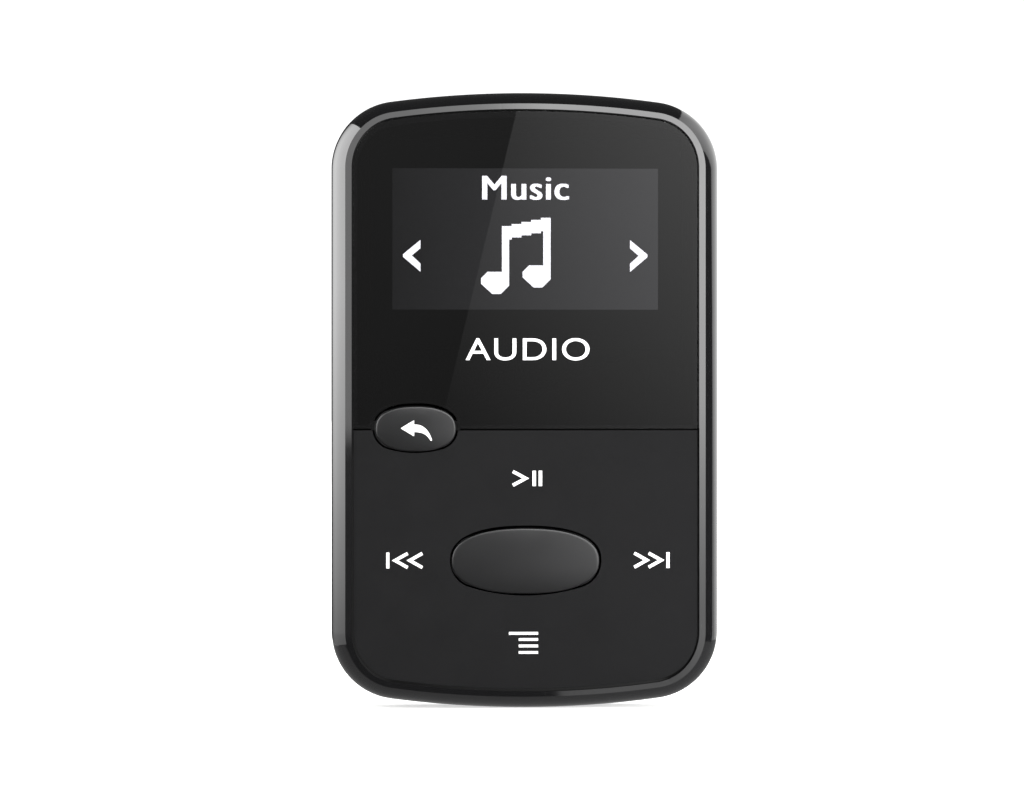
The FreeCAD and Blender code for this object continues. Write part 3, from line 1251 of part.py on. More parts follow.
def main():
    """Build every sub-part, check them all and write them."""
    fill_sheets()
    make_rear_cover()
    make_front_frame()
    make_case_screws()
    make_lens()
    make_adhesive()
    make_control_pad()
    make_rocker_ring()
    make_face_key("select", "center_button")
    make_face_key("return", "back_button")
    make_display_panel()
    make_display_holder()
    make_display_flex()
    make_flex_connector()
    make_main_board()
    make_board_chip("processor", "reach_across / 6", "select_leg_reach - processor_side * 2",
                    "processor_side", "processor_side", "chip_thickness")
    make_board_chip("flash_memory", "-memory_width - holder_rim", "panel_rise - memory_height / 2",
                    "memory_width", "memory_height", "chip_thickness")
    make_domes("pad_domes", pad_stem_places())
    make_domes("center_dome", [key_place("select")])
    make_domes("back_dome", [key_place("return")])
    make_battery_tape()
    make_battery()
    make_guard_board()
    make_battery_lead("battery_lead_positive", "")
    make_battery_lead("battery_lead_negative", "-")
    make_headphone_jack()
    make_jack_contacts()
    make_usb_shell()
    make_usb_tongue()
    make_volume_rocker()
    make_volume_switches()
    make_volume_plungers()
    make_power_button()
    make_power_switch()
    make_power_plunger()
    make_clip_lever()
    make_clip_grip()
    make_clip_pin()
    make_clip_spring()
    check_and_export()


main()
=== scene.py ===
"""Looks of a small clip-on audio player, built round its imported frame.

Lengths are in metres. Plan places are (across, up, out): across to the right of the face, up from
the middle of the case, out of the face. In the frame, across is X, up is Z and out is minus Y.
"""

import math

import bmesh
import bpy
import numpy as np
from bpy.props import FloatProperty, FloatVectorProperty, PointerProperty, StringProperty
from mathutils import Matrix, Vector


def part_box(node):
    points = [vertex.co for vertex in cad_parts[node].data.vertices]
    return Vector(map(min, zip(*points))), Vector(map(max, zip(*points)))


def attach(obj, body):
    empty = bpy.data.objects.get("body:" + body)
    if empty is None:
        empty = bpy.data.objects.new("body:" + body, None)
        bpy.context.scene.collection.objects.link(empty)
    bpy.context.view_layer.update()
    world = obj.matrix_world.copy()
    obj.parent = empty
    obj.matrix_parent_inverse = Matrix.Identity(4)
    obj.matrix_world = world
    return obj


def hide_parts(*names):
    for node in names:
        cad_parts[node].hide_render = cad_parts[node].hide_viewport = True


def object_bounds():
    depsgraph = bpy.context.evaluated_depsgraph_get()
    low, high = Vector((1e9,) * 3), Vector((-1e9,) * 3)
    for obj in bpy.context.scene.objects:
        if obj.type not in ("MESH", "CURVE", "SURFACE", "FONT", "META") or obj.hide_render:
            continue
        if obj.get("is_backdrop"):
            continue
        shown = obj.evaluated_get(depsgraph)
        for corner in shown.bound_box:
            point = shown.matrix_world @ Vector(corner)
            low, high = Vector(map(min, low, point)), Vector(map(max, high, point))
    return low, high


bl_info = {
    "name": "Clip-on audio player",
    "version": (1, 0, 0),
    "blender": (4, 5, 0),
    "location": "3D View > Sidebar > Player",
    "description": "Builds the visible pieces of a small clip-on audio player round its frame",
    "category": "Object",
}

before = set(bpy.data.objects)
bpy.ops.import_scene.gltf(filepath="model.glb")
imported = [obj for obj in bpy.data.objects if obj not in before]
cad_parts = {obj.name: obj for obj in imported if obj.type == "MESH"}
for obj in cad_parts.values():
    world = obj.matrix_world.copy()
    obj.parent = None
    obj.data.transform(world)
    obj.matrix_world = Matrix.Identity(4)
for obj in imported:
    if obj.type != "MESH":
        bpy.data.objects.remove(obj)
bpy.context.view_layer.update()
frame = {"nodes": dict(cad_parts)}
MM = 0.001
FRONT_LOW, FRONT_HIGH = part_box("front_bezel")
MIDDLE = (FRONT_LOW.z + FRONT_HIGH.z) / 2
LENS_LOW, LENS_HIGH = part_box("display_lens")
LENS_TOP = -LENS_LOW.y
PAD_TOP = -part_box("control_pad")[0].y
RIM_TOP = -FRONT_LOW.y
KEY_TOP = -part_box("center_button")[0].y
PANEL_TOP = -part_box("display_panel")[0].y
# width of the render, in whose steps the framing of the camera is given
IMAGE_ACROSS = 1024
# places of a colour mix node's sockets
MIX_SHARE, MIX_A, MIX_B, MIX_RESULT = 0, 6, 7, 2
# millimetres from the middle where the reach of the ends starts and where it is full
REACH_START, REACH_FULL = 24.0, 31.0


def linear(code):
    """An sRGB hex colour as linear red, green and blue."""
    parts = np.array([int(code[i:i + 2], 16) for i in (1, 3, 5)]) / 255
    return tuple(np.where(parts <= 0.04045, parts / 12.92, ((parts + 0.055) / 1.055) ** 2.4))


def length(name, size, description):
    """A length property whose default is given in millimetres."""
    return FloatProperty(name=name, description=description, default=size * MM, min=0.0,
                         unit="LENGTH", precision=5)


def colour(name, code, description):
    """A colour property whose default is an sRGB hex value."""
    return FloatVectorProperty(name=name, description=description, default=linear(code), size=3,
                               min=0.0, max=1.0, subtype="COLOR")


class PlayerCase(bpy.types.PropertyGroup):
    """Sizes of the case, its rim and the plates in its face."""
    corner_radius: length("Corner radius", 7.4, "Plan corners of the case")
    end_radius: length("End radius", 108.0, "Arch of the top and bottom ends")
    seam: length("Seam", 3.0, "Joint between rear shell and front frame, from the back face")
    shoulder: length("Shoulder", 6.55, "Where the side wall starts to curve over")
    crest_inset: length("Crest inset", 1.5, "Outline to the crisp edge of the rim")
    crest_level: length("Crest level", 9.32, "Crisp edge above the back face")
    recess_inset: length("Recess inset", 2.22, "Outline to the recess of the face")
    end_reach: length("End reach", 0.26, "Plates and recess reach this much nearer to the ends")
    wall: length("Wall", 1.3, "Side wall")
    edge_round: length("Edge round", 0.12, "Broken edges of moulded pieces")
    plate_round: length("Plate round", 0.06, "Broken edges of lens and pad")


class PlayerKeys(bpy.types.PropertyGroup):
    """Sizes of the keys."""
    middle_width: length("Middle key width", 16.0, "Middle key, side to side")
    middle_height: length("Middle key height", 7.1, "Middle key, top to bottom")
    middle_drop: length("Middle key drop", 17.4, "Middle key below the middle of the face")
    back_width: length("Back key width", 8.7, "Back key, side to side")
    back_height: length("Back key height", 4.85, "Back key, top to bottom")
    back_left: length("Back key left", 11.88, "Back key left of the middle")
    back_drop: length("Back key drop", 3.1, "Back key below the middle of the face")
    fullness: FloatProperty(name="Key fullness", default=2.35, min=2.0, max=6.0,
                            description="Power of the face keys' oval: 2 is an ellipse")
    skirt: length("Key skirt", 0.8, "Straight side of a key below its crown")
    round: length("Key round", 0.2, "Round of a key's edge")
    crown: length("Key crown", 0.4, "Rise of a key's top from its edge to its middle")
    middle_gap: length("Middle key gap", 0.19, "Opening of the pad round the middle key")
    back_gap: length("Back key gap", 0.23, "Opening of the pad and lens round the back key")
    side_gap: length("Side key gap", 0.18, "Opening of the case round a side key")


class PlayerScreen(bpy.types.PropertyGroup):
    """Sizes and words of the screen and the printing."""
    width: length("Lit width", 28.8, "Lit area of the screen")
    height: length("Lit height", 15.3, "Lit area of the screen")
    rise: length("Lit rise", 17.45, "Middle of the lit area above the middle of the face")
    ink: length("Ink", 0.02, "Thickness of the printing")
    title: StringProperty(name="Title", description="Word at the top of the screen",
                          default="Music")
    label: StringProperty(name="Label", description="Plain word printed under the screen",
                          default="AUDIO")


class PlayerFinish(bpy.types.PropertyGroup):
    """Main colours of the player."""
    frame: colour("Front frame", "#0B0B0C", "High-gloss front frame")
    rear: colour("Rear shell", "#191919", "Textured rear shell and clip")
    pad: colour("Control pad", "#0E0E0F", "Soft matte control pad")
    key: colour("Keys", "#111112", "Satin keys")
    ink: colour("Printing", "#F4F4F4", "White printing on the pad, the back key and the lens")


# ---------------------------------------------------------------- surfaces

def place(across, up, out):
    """Plan places as frame places: X is across, Y is minus out, Z is up plus the middle."""
    across, up, out = np.broadcast_arrays(across, up, out)
    return np.stack([across, -out, up + MIDDLE], axis=-1)


def grid_faces(rows, columns, wrap_rows=False, wrap_columns=True):
    """Quads between neighbours of a grid of rows times columns points, numbered row by row."""
    i = np.arange(rows if wrap_rows else rows - 1)[:, None]
    j = np.arange(columns if wrap_columns else columns - 1)[None, :]
    k, m = (i + 1) % rows, (j + 1) % columns
    quads = np.stack([i * columns + j, i * columns + m, k * columns + m, k * columns + j], -1)
    return quads.reshape(-1, 4).tolist()


def case_path(case, inset=0.0, corner=36, end=28, side=14):
    """Places and outward directions round the case outline, set in evenly.

    Four corner arcs, two end arches and two straight sides that touch smoothly. An arc's points
    are its centre plus its radius times the direction, which is also the outward normal.
    """
    half = FRONT_HIGH.x
    across = half - case.corner_radius
    drop = case.end_radius - (FRONT_HIGH.z - FRONT_LOW.z) / 2
    up = math.sqrt((case.end_radius - case.corner_radius) ** 2 - across ** 2) - drop
    lean = math.atan2(up + drop, across)
    arc = np.linspace(0, lean, corner, endpoint=False)
    arch = np.linspace(lean, math.pi - lean, end, endpoint=False)
    back = np.linspace(math.pi - lean, math.pi, corner, endpoint=False)
    turns = np.concatenate([arc, arch, back, np.full(side, math.pi)])
    radius = np.concatenate([np.full(corner, case.corner_radius), np.full(end, case.end_radius),
                             np.full(corner, case.corner_radius), np.zeros(side)]) - inset
    line = np.linspace(up, -up, side, endpoint=False)
    centre_x = np.concatenate([np.full(corner, across), np.zeros(end), np.full(corner, -across),
                               np.full(side, -half)])
    centre_y = np.concatenate([np.full(corner, up), np.full(end, -drop), np.full(corner, up),
                               line])
    normal = np.stack([np.cos(turns), np.sin(turns)], -1)
    points = np.stack([centre_x, centre_y], -1) + normal * radius[:, None]
    return np.concatenate([points, -points]), np.concatenate([normal, -normal])


def oval_path(width, height, power, count=160):
    """Closed oval whose places satisfy |x / a|^power + |y / b|^power = 1: the cosine and the sine
    of each turn to the power 2 / power, with their signs."""
    turn = np.linspace(0, 2 * math.pi, count, endpoint=False)
    cosine, sine = np.cos(turn), np.sin(turn)
    return np.stack([width / 2 * np.sign(cosine) * np.abs(cosine) ** (2 / power),
                     height / 2 * np.sign(sine) * np.abs(sine) ** (2 / power)], -1)


def slot_path(width, height, count=20):
    """Outline with two round ends: half circles of the smaller side, moved apart."""
    radius = min(width, height) / 2
    turn = np.linspace(-math.pi / 2, math.pi / 2, count)
    ends = np.stack([radius * np.cos(turn) + width / 2 - radius, radius * np.sin(turn)], -1)
    return np.concatenate([ends, -ends])


def bezier(points, count):
    """Cubic curve through four control points: (1-t)^3 A + 3t(1-t)^2 B + 3t^2(1-t) C + t^3 D."""
    t = np.linspace(0, 1, count)[:, None]
    a, b, c, d = np.asarray(points, float)
    return (1 - t) ** 3 * a + 3 * t * (1 - t) ** 2 * b + 3 * t ** 2 * (1 - t) * c + t ** 3 * d


def shell(points, faces):
    """A bmesh of frame places and faces, doubles merged and faces turned outwards."""
    mesh = bpy.data.meshes.new("shell")
    mesh.from_pydata(np.asarray(points).reshape(-1, 3).tolist(), [], faces)
    made = bmesh.new()
    made.from_mesh(mesh)
    bpy.data.meshes.remove(mesh)
    bmesh.ops.remove_doubles(made, verts=made.verts, dist=1e-7)
    bmesh.ops.recalc_face_normals(made, faces=made.faces)
    return made


def prism(outline, low, high, lay=place):
    """Closed block of an outline between two levels: two rings of points, sides and two caps."""
    outline = np.asarray(outline)
    count = len(outline)
    points = np.concatenate([lay(outline[:, 0], outline[:, 1], low),
                             lay(outline[:, 0], outline[:, 1], high)])
    caps = [list(range(count)), list(range(count, 2 * count))]
    return shell(points, grid_faces(2, count) + caps)


def stacked(rings):
    """Closed solid of equal rings of frame places, one above the other, with two caps."""
    rings = np.asarray(rings)
    rows, count = rings.shape[:2]
    last = (rows - 1) * count
    caps = [list(range(count)), list(range(last, last + count))]
    return shell(rings, grid_faces(rows, count) + caps)


def stroke(points, width):
    """Outline of a line of even width: its points moved half the width to each side, mitred."""
    points = np.asarray(points, float)
    step = np.diff(points, axis=0)
    step /= np.linalg.norm(step, axis=1)[:, None]
    before = np.concatenate([step[:1], step])
    after = np.concatenate([step, step[-1:]])
    mitre = before + after
    mitre /= np.linalg.norm(mitre, axis=1)[:, None]
    side = np.stack([-mitre[:, 1], mitre[:, 0]], -1)
    aside = side * (width / 2 / np.sum(mitre * before, axis=1))[:, None]
    return np.concatenate([points + aside, (points - aside)[::-1]])


def merged_copy(node):
    """A CAD node's mesh as a bmesh, its loose corners merged and flat triangles joined."""
    made = bmesh.new()
    made.from_mesh(frame["nodes"][node].data)
    bmesh.ops.remove_doubles(made, verts=made.verts, dist=2e-6)
    bmesh.ops.dissolve_limit(made, angle_limit=math.radians(0.6), verts=made.verts,
                             edges=made.edges)
    return made


def cut_above(made, out):
    """Keeps what lies below a level of the face, and closes the cut."""
    everything = list(made.verts) + list(made.edges) + list(made.faces)
    cut = bmesh.ops.bisect_plane(made, geom=everything, plane_co=(0, -out, 0),
                                 plane_no=(0, -1, 0), clear_outer=True, dist=1e-7)
    edges = [e for e in cut["geom_cut"] if isinstance(e, bmesh.types.BMEdge)]
    bmesh.ops.holes_fill(made, edges=edges, sides=0)
    return made


def reshaped(made, move):
    """A bmesh whose corners are moved at once, by a function from frame places to frame places."""
    mesh = bpy.data.meshes.new("reshaped")
    made.to_mesh(mesh)
    made.free()
    flat = np.empty(3 * len(mesh.vertices), np.float32)
    mesh.vertices.foreach_get("co", flat)
    moved = move(flat.reshape(-1, 3).astype(float))
    mesh.vertices.foreach_set("co", moved.astype(np.float32).ravel())
    made = bmesh.new()
    made.from_mesh(mesh)
    bpy.data.meshes.remove(mesh)
    return made


def as_object(name, made):
    """A bmesh as an object at the origin."""
    mesh = bpy.data.meshes.new(name)
    made.to_mesh(mesh)
    made.free()
    piece = bpy.data.objects.new(name, mesh)
    bpy.context.scene.collection.objects.link(piece)
    return piece


def joined(*parts):
    """Several bmeshes as one."""
    whole = bmesh.new()
    for part in parts:
        mesh = bpy.data.meshes.new("part")
        part.to_mesh(mesh)
        part.free()
        whole.from_mesh(mesh)
        bpy.data.meshes.remove(mesh)
    return whole


def carve(piece, made, operation="DIFFERENCE"):
    """Cuts a block out of a piece, or keeps what they share, and bakes the result in its mesh."""
    block = as_object("cutter", made)
    step = piece.modifiers.new("carve", "BOOLEAN")
    step.operation, step.object, step.solver = operation, block, "EXACT"
    graph = bpy.context.evaluated_depsgraph_get()
    mesh = bpy.data.meshes.new_from_object(piece.evaluated_get(graph))
    piece.modifiers.clear()
    piece.data = mesh
    bpy.data.objects.remove(block)
    if not len(mesh.polygons):
        raise RuntimeError(f"cutting {piece.name} left nothing")


def finish(piece, body, material, replaces=(), sharp=30.0, bevel=0.0, segments=3):
    """Gives a piece its material, smooth shading, broken edges and body, and hides replaced CAD
    nodes.
    """
    piece.data.materials.clear()
    piece.data.materials.append(material)
    piece.data.shade_smooth()
    piece.data.set_sharp_from_angle(angle=math.radians(sharp))
    if bevel:
        step = piece.modifiers.new("broken edges", "BEVEL")
        step.width, step.segments, step.limit_method = bevel, segments, "ANGLE"
        step.angle_limit = math.radians(max(sharp, 35.0))
        step.use_clamp_overlap, step.harden_normals = True, False
        step.miter_outer = "MITER_ARC"
    weights = piece.modifiers.new("even shading", "WEIGHTED_NORMAL")
    weights.keep_sharp, weights.weight = True, 80
    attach(piece, body)
    if replaces:
        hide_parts(*replaces)
    return piece


def dress(node, material):
    """A CAD node whose shape is right keeps it and gets its material."""
    mesh = frame["nodes"][node].data
    mesh.materials.clear()
    mesh.materials.append(material)
    mesh.polygons.foreach_set("material_index", np.zeros(len(mesh.polygons), np.int32))


# ---------------------------------------------------------------- materials

def add_node(tree, kind, inputs=None, **settings):
    """Adds a node with its settings. Inputs go by name or place, to a value or another output."""
    node = tree.nodes.new(kind)
    for name, setting in settings.items():
        setattr(node, name, setting)
    for name, source in (inputs or {}).items():
        if isinstance(source, bpy.types.NodeSocket):
            tree.links.new(source, node.inputs[name])
        else:
            node.inputs[name].default_value = source
    return node


def shade(color, amount):
    """A colour made lighter or darker by a factor."""
    return tuple(min(1.0, part * amount) for part in color) + (1.0,)


def surface(name, color, rough, grain=0.0, grain_depth=0.0, mottle=3.0, spread=0.12, speck=0.0,
            streak=(1, 1, 1), scratch=0.0, **uniform):
    """A solid finish: mottled colour, uneven roughness, grain in the bump and fine specks.

    rough is the lowest and highest roughness. grain and mottle are sizes in millimetres,
    grain_depth and scratch are depths in millimetres, speck is how strongly pale dust shows, and
    streak scales the grain along each axis. What is left sets the shader's own sockets.
    """
    made = bpy.data.materials.get(name)
    if made:
        return made
    made = bpy.data.materials.new(name)
    made.use_nodes = True
    tree = made.node_tree
    shader = tree.nodes["Principled BSDF"]
    for socket, setting in uniform.items():
        shader.inputs[socket.replace("_", " ")].default_value = setting
    spot = add_node(tree, "ShaderNodeTexCoord").outputs["Object"]
    patches = add_node(tree, "ShaderNodeTexNoise", {
        "Vector": spot, "Scale": 1 / (mottle * MM), "Detail": 4.0, "Roughness": 0.6})
    tint = add_node(tree, "ShaderNodeMix", {
        MIX_SHARE: patches.outputs["Fac"], MIX_A: shade(color, 1 - spread),
        MIX_B: shade(color, 1 + spread)}, data_type="RGBA").outputs[MIX_RESULT]
    stretched = add_node(tree, "ShaderNodeMapping", {"Vector": spot, "Scale": streak})
    if speck:
        dust_spacing = 0.9
        dust = add_node(tree, "ShaderNodeTexVoronoi", {
            "Vector": spot, "Scale": 1 / (dust_spacing * MM)})
        dots = add_node(tree, "ShaderNodeMapRange", {
            "Value": dust.outputs["Distance"], "From Min": 0.05, "From Max": 0.08,
            "To Min": speck, "To Max": 0.0})
        tint = add_node(tree, "ShaderNodeMix", {
            MIX_SHARE: dots.outputs["Result"], MIX_A: tint, MIX_B: shade(color, 4)},
            data_type="RGBA").outputs[MIX_RESULT]
    tree.links.new(tint, shader.inputs["Base Color"])
    wear = add_node(tree, "ShaderNodeTexNoise", {
        "Vector": stretched.outputs["Vector"], "Scale": 1 / (mottle * 0.35 * MM), "Detail": 5.0})
    gloss = add_node(tree, "ShaderNodeMapRange", {
        "Value": wear.outputs["Fac"], "From Min": 0.3, "From Max": 0.7,
        "To Min": rough[0], "To Max": rough[1]})
    tree.links.new(gloss.outputs["Result"], shader.inputs["Roughness"])
    bump = None
    if grain_depth:
        texture = add_node(tree, "ShaderNodeTexNoise", {
            "Vector": stretched.outputs["Vector"], "Scale": 1 / (grain * MM), "Detail": 3.0})
        bump = add_node(tree, "ShaderNodeBump", {
            "Height": texture.outputs["Fac"], "Distance": grain_depth * MM, "Strength": 1.0})
    if scratch:
        hairline_spacing = 18
        lines = add_node(tree, "ShaderNodeTexNoise", {
            "Vector": add_node(tree, "ShaderNodeMapping", {
                "Vector": spot, "Rotation": (0.3, 0.5, 0.8), "Scale": (40.0, 1.0, 1.5),
            }).outputs["Vector"], "Scale": 1 / (hairline_spacing * MM), "Detail": 6.0})
        thin = add_node(tree, "ShaderNodeMapRange", {
            "Value": lines.outputs["Fac"], "From Min": 0.62, "From Max": 0.7})
        inputs = {"Height": thin.outputs["Result"], "Distance": -scratch * MM, "Strength": 1.0}
        if bump:
            inputs["Normal"] = bump.outputs["Normal"]
        bump = add_node(tree, "ShaderNodeBump", inputs)
    if bump:
        tree.links.new(bump.outputs["Normal"], shader.inputs["Normal"])
    return made


def polished_abs(colors):
    """ABS, from a polished mould: near-black mirror with faint haze and hairline scratches."""
    return surface("polished ABS", colors.frame, (0.035, 0.075), mottle=9, scratch=0.0006,
                   speck=0.25, IOR=1.54)


def textured_abs(colors):
    """ABS, from a spark-eroded mould: fine pebble of 0.25 mm that breaks the light up."""
    return surface("textured ABS", colors.rear, (0.42, 0.56), grain=0.22,
                   grain_depth=0.012, mottle=6, spread=0.2, IOR=1.54, Specular_IOR_Level=0.25)


def soft_touch(colors):
    """ABS under a soft-feel lacquer: even matte black with a velvety low sheen."""
    return surface("soft-feel lacquer", colors.pad, (0.44, 0.52), grain=0.14,
                   grain_depth=0.004, mottle=8, spread=0.1, IOR=1.5, Specular_IOR_Level=0.14)


def satin_abs(colors):
    """ABS keys, vapour-blasted mould: satin black that shows the crown as a soft gradient."""
    return surface("satin ABS", colors.key, (0.29, 0.31), grain=0.12, grain_depth=0.002,
                   mottle=5, spread=0.1, IOR=1.54)


def filled_nylon(colors):
    """Glass-filled nylon clip: tough satin black with a slight flow grain along its length."""
    return surface("glass-filled nylon", colors.rear, (0.4, 0.6), grain=0.3,
                   grain_depth=0.01, mottle=4, spread=0.25, streak=(1, 1, 0.3), IOR=1.53,
                   Specular_IOR_Level=0.3)


def soft_rubber():
    """Thermoplastic rubber of the clip's jaw: dull and slightly dusty."""
    return surface("thermoplastic rubber", linear("#1A1A1A"), (0.7, 0.85), grain=0.2,
                   grain_depth=0.01, mottle=2, spread=0.3, IOR=1.5, Specular_IOR_Level=0.3)


def plated_steel():
    """Zinc-plated steel, tumbled: bluish grey metal with small marks."""
    return surface("zinc-plated steel", linear("#B9BCC1"), (0.25, 0.42), grain=0.15,
                   grain_depth=0.003, mottle=1.2, spread=0.15, Metallic=1.0)


def dark_steel():
    """Black-oxide steel screws: dark metal with oily sheen."""
    return surface("black-oxide steel", linear("#3C3C3E"), (0.3, 0.45), grain=0.1,
                   grain_depth=0.003, mottle=0.8, spread=0.2, Metallic=1.0)


def gold_flash():
    """Phosphor bronze under a gold flash: warm bright contacts."""
    return surface("gold-flashed bronze", linear("#D8B26A"), (0.2, 0.35), grain=0.1,
                   grain_depth=0.002, mottle=1, spread=0.1, Metallic=1.0)


def liquid_crystal_polymer():
    """Black connector plastic (LCP): slightly streaky matte."""
    return surface("liquid crystal polymer", linear("#161616"), (0.5, 0.65), grain=0.2,
                   grain_depth=0.006, mottle=1.5, spread=0.3, IOR=1.6)


def white_carbonate():
    """White polycarbonate display frame: bright diffuse plastic."""
    return surface("white polycarbonate", linear("#E4E3DE"), (0.4, 0.5), grain=0.3,
                   grain_depth=0.004, mottle=4, spread=0.04, IOR=1.58)


def polyimide():
    """Polyimide flex: amber film with copper tracks showing through."""
    return surface("polyimide film", linear("#B9722E"), (0.25, 0.4), grain=0.4,
                   grain_depth=0.004, mottle=1.2, spread=0.35, streak=(4, 1, 0.2), IOR=1.7)


def solder_mask():
    """Glass-epoxy board under green solder mask: satin green with the weave below it."""
    return surface("solder mask", linear("#1C5A34"), (0.25, 0.4), grain=0.5, grain_depth=0.01,
                   mottle=1.5, spread=0.35, IOR=1.55)


def epoxy():
    """Moulded epoxy chip package: dull dark grey."""
    return surface("moulded epoxy", linear("#242425"), (0.55, 0.7), grain=0.1, grain_depth=0.004,
                   mottle=1.5, spread=0.2, IOR=1.55)


def pouch_foil():
    """Aluminium-nylon pouch of the cell: soft silver with shallow creases."""
    return surface("pouch foil", linear("#B5B7BA"), (0.3, 0.5), grain=3.0, grain_depth=0.08,
                   mottle=6, spread=0.08, Metallic=0.9)


def acrylic_tape():
    """Black acrylic foam tape: dead matte."""
    return surface("acrylic foam", linear("#141414"), (0.8, 0.95), grain=0.1, grain_depth=0.01,
                   mottle=0.6, spread=0.3, IOR=1.49)


def silicone(name, code):
    """Silicone wire cover: slightly waxy."""
    return surface(name, linear(code), (0.35, 0.5), grain=0.2, grain_depth=0.004, mottle=1.0,
                   spread=0.15, IOR=1.41)


def screen_ink(colors):
    """White pad-printed ink: matte with a slightly uneven film."""
    return surface("pad-printing ink", colors.ink, (0.5, 0.65), grain=0.15,
                   grain_depth=0.003, mottle=0.5, spread=0.03, IOR=1.5)


def backing_ink_and_painted_shade():
    """Black screen-printed ink on the back of the lens: hides all but the lit area. It is also
    the black of the sheets of painted shade in the joints and round the keys.
    """
    return surface("screen-printing ink and painted shade", linear("#030303"), (0.7, 0.8), grain=0.1,
                   grain_depth=0.002, mottle=1.0, spread=0.1, IOR=1.5, Specular_IOR_Level=0.0)


def smoked_acrylic():
    """PMMA, injection moulded and smoke tinted: a dark clear sheet with a mirror face."""
    return surface("smoked PMMA", linear("#3A3A3C"), (0.0, 0.003), mottle=12, spread=0.03,
                   IOR=1.49, Transmission_Weight=1.0)


def display_glass():
    """Display glass, float glass over a dark polariser: near-black with a faint grey cast."""
    return surface("display glass", linear("#050506"), (0.05, 0.09), mottle=5, spread=0.08,
                   IOR=1.52, Specular_IOR_Level=0.0)


def lit(name, code, strength, low, reach):
    """Light of the display's face: a glow that rises from its low share at the left to full at
    the right, over a reach on each side, with faint uneven patches. The rise is a painted
    reflection of light on the lens."""
    made = bpy.data.materials.new(name)
    made.use_nodes = True
    tree = made.node_tree
    shader = tree.nodes["Principled BSDF"]
    shader.inputs["Base Color"].default_value = (0.0, 0.0, 0.0, 1.0)
    shader.inputs["Roughness"].default_value = 0.6
    shader.inputs["Specular IOR Level"].default_value = 0.0
    shader.inputs["Emission Strength"].default_value = strength
    spot = add_node(tree, "ShaderNodeTexCoord").outputs["Object"]
    patches = add_node(tree, "ShaderNodeTexNoise", {
        "Vector": spot, "Scale": 1 / (2.5 * MM), "Detail": 2.0})
    across = add_node(tree, "ShaderNodeSeparateXYZ", {"Vector": spot})
    # painted reflection of the lens: the glow rises from the left to the right
    painted_reflection_ramp = add_node(tree, "ShaderNodeMapRange", {
        "Value": across.outputs["X"], "From Min": -reach, "From Max": reach})
    patchiness = 0.05
    share = add_node(tree, "ShaderNodeMath", {
        0: patches.outputs["Fac"], 1: patchiness, 2: painted_reflection_ramp.outputs["Result"]},
        operation="MULTIPLY_ADD")
    tone = add_node(tree, "ShaderNodeMix", {
        MIX_SHARE: share.outputs["Value"], MIX_A: shade(linear(code), low),
        MIX_B: shade(linear(code), 1.0)}, data_type="RGBA")
    tree.links.new(tone.outputs[MIX_RESULT], shader.inputs["Emission Color"])
    return made


# ---------------------------------------------------------------- pieces

def print_marks(name, outlines, out, thick, body, material):
    """Flat marks of even thickness, each outline a closed block that stands on a surface."""
    bite = thick / 4
    blocks = [prism(np.asarray(o) * MM, out - bite, out + thick) for o in outlines]
    return finish(as_object(name, joined(*blocks)), body, material)


def letters(text, width, height, across, up, out, thick):
    """A plain word as flat closed letters, stretched to a given width and height."""
    curve = bpy.data.curves.new("letters", "FONT")
    curve.body, curve.size, curve.extrude, curve.space_character = text, 1.0, 0.05, 1.08
    source = bpy.data.objects.new("letters", curve)
    bpy.context.scene.collection.objects.link(source)
    graph = bpy.context.evaluated_depsgraph_get()
    mesh = bpy.data.meshes.new_from_object(source.evaluated_get(graph))
    bpy.data.objects.remove(source)
    made = bmesh.new()
    made.from_mesh(mesh)
    bpy.data.meshes.remove(mesh)
    bmesh.ops.remove_doubles(made, verts=made.verts, dist=1e-5)
    bite = 0.25                     # share of the thickness that sinks into the surface

    def stretch(spots):
        low, high = spots.min(0), spots.max(0)
        share = (spots - low) / (high - low)
        return place(across + (share[:, 0] - 0.5) * width, up + (share[:, 1] - 0.5) * height,
                     out + (share[:, 2] * (1 + bite) - bite) * thick)

    made = reshaped(made, stretch)
    bmesh.ops.recalc_face_normals(made, faces=made.faces)
    return made


def reach_ends(across, up, out, amount, share=1.0):
    """Plan places moved towards the nearer end by amount times a smooth step, 3 s^2 - 2 s^3 of
    the share s of the way from where the reach starts to where it is full."""
    step = np.clip((np.abs(up) / MM - REACH_START) / (REACH_FULL - REACH_START), 0, 1)
    return across, up + np.sign(up) * amount * share * step * step * (3 - 2 * step), out


def reach_mesh(made, amount):
    """A bmesh of frame places whose corners are moved by reach_ends."""
    return reshaped(made, lambda spots: place(
        *reach_ends(spots[:, 0], spots[:, 2] - MIDDLE, -spots[:, 1], amount)))


def dome_rise(points, width, height, power, rise):
    """Height of a key's crown over its plan places, counted from its middle: rise times
    (1 - share squared), where share is (|x / a|^power + |y / b|^power)^(1 / power)."""
    scaled = np.abs(points) / (np.array([width, height]) / 2)
    share = np.sum(scaled ** power, axis=1) ** (1 / power)
    return rise * (1 - share ** 2)


def key_cap(node, width, height, across, up, crown, keys):
    """A face key: its CAD stem and flange below, and above them rings of its oval that round over
    along an arc of 70 degrees and then rise to the crown by rise times (1 - share squared), where
    share is a ring's size against the top ring of the arc."""
    start = crown - keys.skirt
    arc_rings, top_rings, smallest = 8, 26, 0.03
    turn = np.linspace(0, math.radians(70), arc_rings)
    inset = keys.round * (1 - np.cos(turn))
    rise = keys.crown * height / keys.middle_height
    rings = [oval_path(width, height, keys.fullness)]
    levels = [start]
    rings += [oval_path(width - 2 * i, height - 2 * i, keys.fullness) for i in inset]
    levels += list(crown - rise - keys.round * (np.sin(turn[-1]) - np.sin(turn)))
    share = np.linspace(1, smallest, top_rings)[1:]
    rings += [rings[len(inset)] * s for s in share]
    levels += list(crown - rise * share ** 2)
    rings = np.stack(rings) + np.array([across, up])
    levels = np.array(levels)[:, None]
    cap = stacked(place(rings[..., 0], rings[..., 1], levels))
    return joined(cap, cut_above(merged_copy(node), start))


